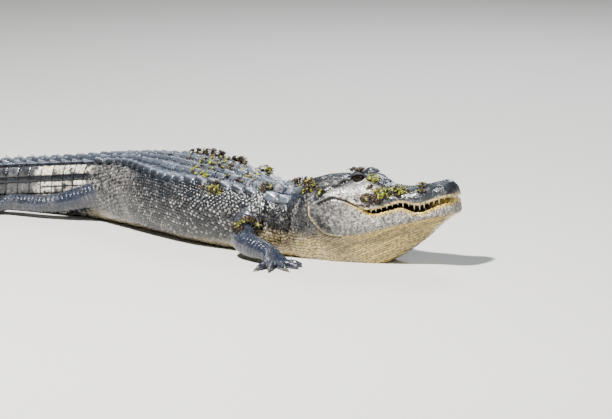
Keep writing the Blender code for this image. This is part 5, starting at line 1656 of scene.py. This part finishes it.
eyeLooks = {"roughness": 0.12, "coat": 0.14, "coatRoughness": 0.03, "specular": 0.12}


def makeEyeMaterial():
    material, tree, shader = startMaterial("wet eye", eyeLooks["specular"], eyeLooks["coatRoughness"])
    shader.inputs["Roughness"].default_value = eyeLooks["roughness"]
    shader.inputs["Coat Weight"].default_value = eyeLooks["coat"]
    threads = addNoise(tree, (-900, 0), Scale=420.0, Detail=3.0)
    iris = blendColour(tree, (-650, 200), threads, (0.003, 0.002, 0.001), (0.012, 0.007, 0.003))
    edge = addRange(tree, (-650, -50), readMark(tree, "iris", (-900, -200)), 0.85, 1.05)
    around = blendColour(tree, (-400, 200), edge, iris, (0.004, 0.003, 0.003))
    slit = addRange(tree, (-650, -300), readMark(tree, "slit", (-900, -400)), 0.85, 1.15)
    tone = blendColour(tree, (-150, 200), slit, (0.001, 0.001, 0.001), around)
    tree.links.new(tone, shader.inputs["Base Color"])
    return material


ivoryLooks = {
    "low": (0.20, 0.15, 0.065), "high": (0.46, 0.40, 0.24), "grain": 260.0, "roughen": 0.4,
    "wet": 0.16, "dry": 0.35, "coat": 0.5, "coatRoughness": 0.1, "bump": 0.12, "bumpDepth": 0.0006,
}
clawLooks = {
    "low": (0.020, 0.017, 0.014), "high": (0.11, 0.085, 0.060), "grain": 380.0, "roughen": 0.9,
    "wet": 0.20, "dry": 0.42, "coat": 0.6, "coatRoughness": 0.1, "bump": 0.25, "bumpDepth": 0.0008,
}


def makeHornMaterial(name, looks):  # for teeth and claws
    material, tree, shader, grain, _ = startSurface(name, looks)
    tone = blendColour(tree, (-400, 200), grain["Mottle"], looks["low"], looks["high"])
    tree.links.new(tone, shader.inputs["Base Color"])
    return material


plantLooks = {
    # the ramp runs from green leaves through brown to a near-black that is painted shade under the heaps
    "stops": [(0.32, (0.20, 0.19, 0.012)), (0.50, (0.060, 0.027, 0.007)), (0.68, (0.014, 0.008, 0.004))],
    "green": (0.34, 0.42, 0.018), "brownAndShade": (0.006, 0.004, 0.003), "grain": 500.0, "roughen": 0.6,
    "wet": 0.40, "dry": 0.65, "coat": 0.12, "coatRoughness": 0.15, "bump": 0.25, "bumpDepth": 0.0006,
}


def makePlantMaterial():
    looks = plantLooks
    material, tree, shader, grain, _ = startSurface("water plant", looks)
    ramp = addNode(tree, "ShaderNodeValToRGB", (-800, 300))
    tree.links.new(readMark(tree, "brownAndShade", (-1100, 200)), ramp.inputs["Fac"])
    stops = ramp.color_ramp.elements
    stops[0].position, stops[0].color = 0.0, (*looks["green"], 1)
    stops[1].position, stops[1].color = 1.0, (*looks["brownAndShade"], 1)
    for position, colour in looks["stops"]:
        stops.new(position).color = (*colour, 1)
    addTone(tree, shader, ramp.outputs["Color"], addMath(tree, (-650, 0), "SUBTRACT", grain["Mottle"], 0.5))
    return material


def finishPiece(item, material, slot, *nodes):
    item.data.materials.clear()
    item.data.materials.append(material)
    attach(item, "root")
    if nodes:
        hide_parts(*nodes)


fleshNodes = [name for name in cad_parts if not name.startswith("eye_")]
skinMaterial, lidMaterial = makeSkinMaterial("wet skin", True), makeSkinMaterial("lid skin", False)
scuteMaterial, eyeMaterial, plantMaterial = makeScuteMaterial(), makeEyeMaterial(), makePlantMaterial()
ivoryMaterial = makeHornMaterial("tooth ivory", ivoryLooks)
clawMaterial = makeHornMaterial("claw horn", clawLooks)
finishPiece(skin, skinMaterial, "skin", *fleshNodes)
for item in (backArmour, napeShields, tailCrests):
    finishPiece(item, scuteMaterial, "scute")
for ball, lids, word in eyes:
    finishPiece(ball, eyeMaterial, "eye", f"eye_{word}")
    finishPiece(lids, lidMaterial, "skin")
for item in (upperTeeth, lowerTeeth):
    finishPiece(item, ivoryMaterial, "tooth")
for item in claws:
    finishPiece(item, clawMaterial, "claw")
finishPiece(plantBits, plantMaterial, "waterweed")
print("materials")


# Floor, light and camera
studio = {"floor": (0.57, 0.57, 0.55), "floorSize": 40.0, "sky": (0.78, 0.84, 0.92), "skyStrength": 0.165}
lights = [  # name, place, aim, width, watts, colour
    ("key", (0.9, -2.4, 4.4), (0.2, 0.0, 0.1), 0.30, 1050, (1.0, 0.97, 0.92)),
    ("back", (-2.2, 3.2, 3.0), (0.0, 0.0, 0.1), 1.6, 150, (0.88, 0.94, 1.0)),
    ("front", (4.2, -0.6, 2.2), (0.6, 0.2, 0.1), 1.8, 45, (1.0, 0.98, 0.95)),
]


def makeFloor():
    size = studio["floorSize"] / 2
    corners = [(-size, -size, 0), (size, -size, 0), (size, size, 0), (-size, size, 0)]
    item = makeObject("floor", corners, [(0, 1, 2, 3)])
    material, tree, shader = startMaterial("studio floor", 0.3)
    shader.inputs["Roughness"].default_value = 0.7
    low = tuple(c * 0.96 for c in studio["floor"])
    tone = blendColour(tree, (-300, 0), addNoise(tree, (-600, 0), Scale=1.5, Detail=3.0), low,
                       studio["floor"])
    tree.links.new(tone, shader.inputs["Base Color"])
    item.data.materials.append(material)


def makeLights():
    world = bpy.data.worlds.new("studio")
    world.use_nodes = True
    world.node_tree.nodes["Background"].inputs["Color"].default_value = (*studio["sky"], 1)
    world.node_tree.nodes["Background"].inputs["Strength"].default_value = studio["skyStrength"]
    bpy.context.scene.world = world
    for name, spot, aim, width, watts, colour in lights:
        light = bpy.data.lights.new(name, "AREA")
        light.size, light.energy, light.color = width, watts, colour
        item = bpy.data.objects.new(name, light)
        item.location = spot
        item.rotation_euler = (Vector(aim) - Vector(spot)).to_track_quat("-Z", "Y").to_euler()
        bpy.context.scene.collection.objects.link(item)


def makeCamera():
    back, right, up, spot = cameraAxes()
    aside, above = (cameraValues[way] / cameraValues["focal"] for way in ("right", "up"))
    aim = -back - right * aside + up * above
    data = bpy.data.cameras.new("camera")
    data.sensor_width = cameraValues["sensor"]
    data.lens = cameraValues["focal"] * cameraValues["sensor"] / cameraValues["frame"]
    data.clip_end = 100
    item = bpy.data.objects.new("camera", data)
    item.location = spot
    item.rotation_euler = Vector(aim).to_track_quat("-Z", "Y").to_euler()
    bpy.context.scene.collection.objects.link(item)
    bpy.context.scene.camera = item


makeFloor()
makeLights()
makeCamera()
print("stage and size")
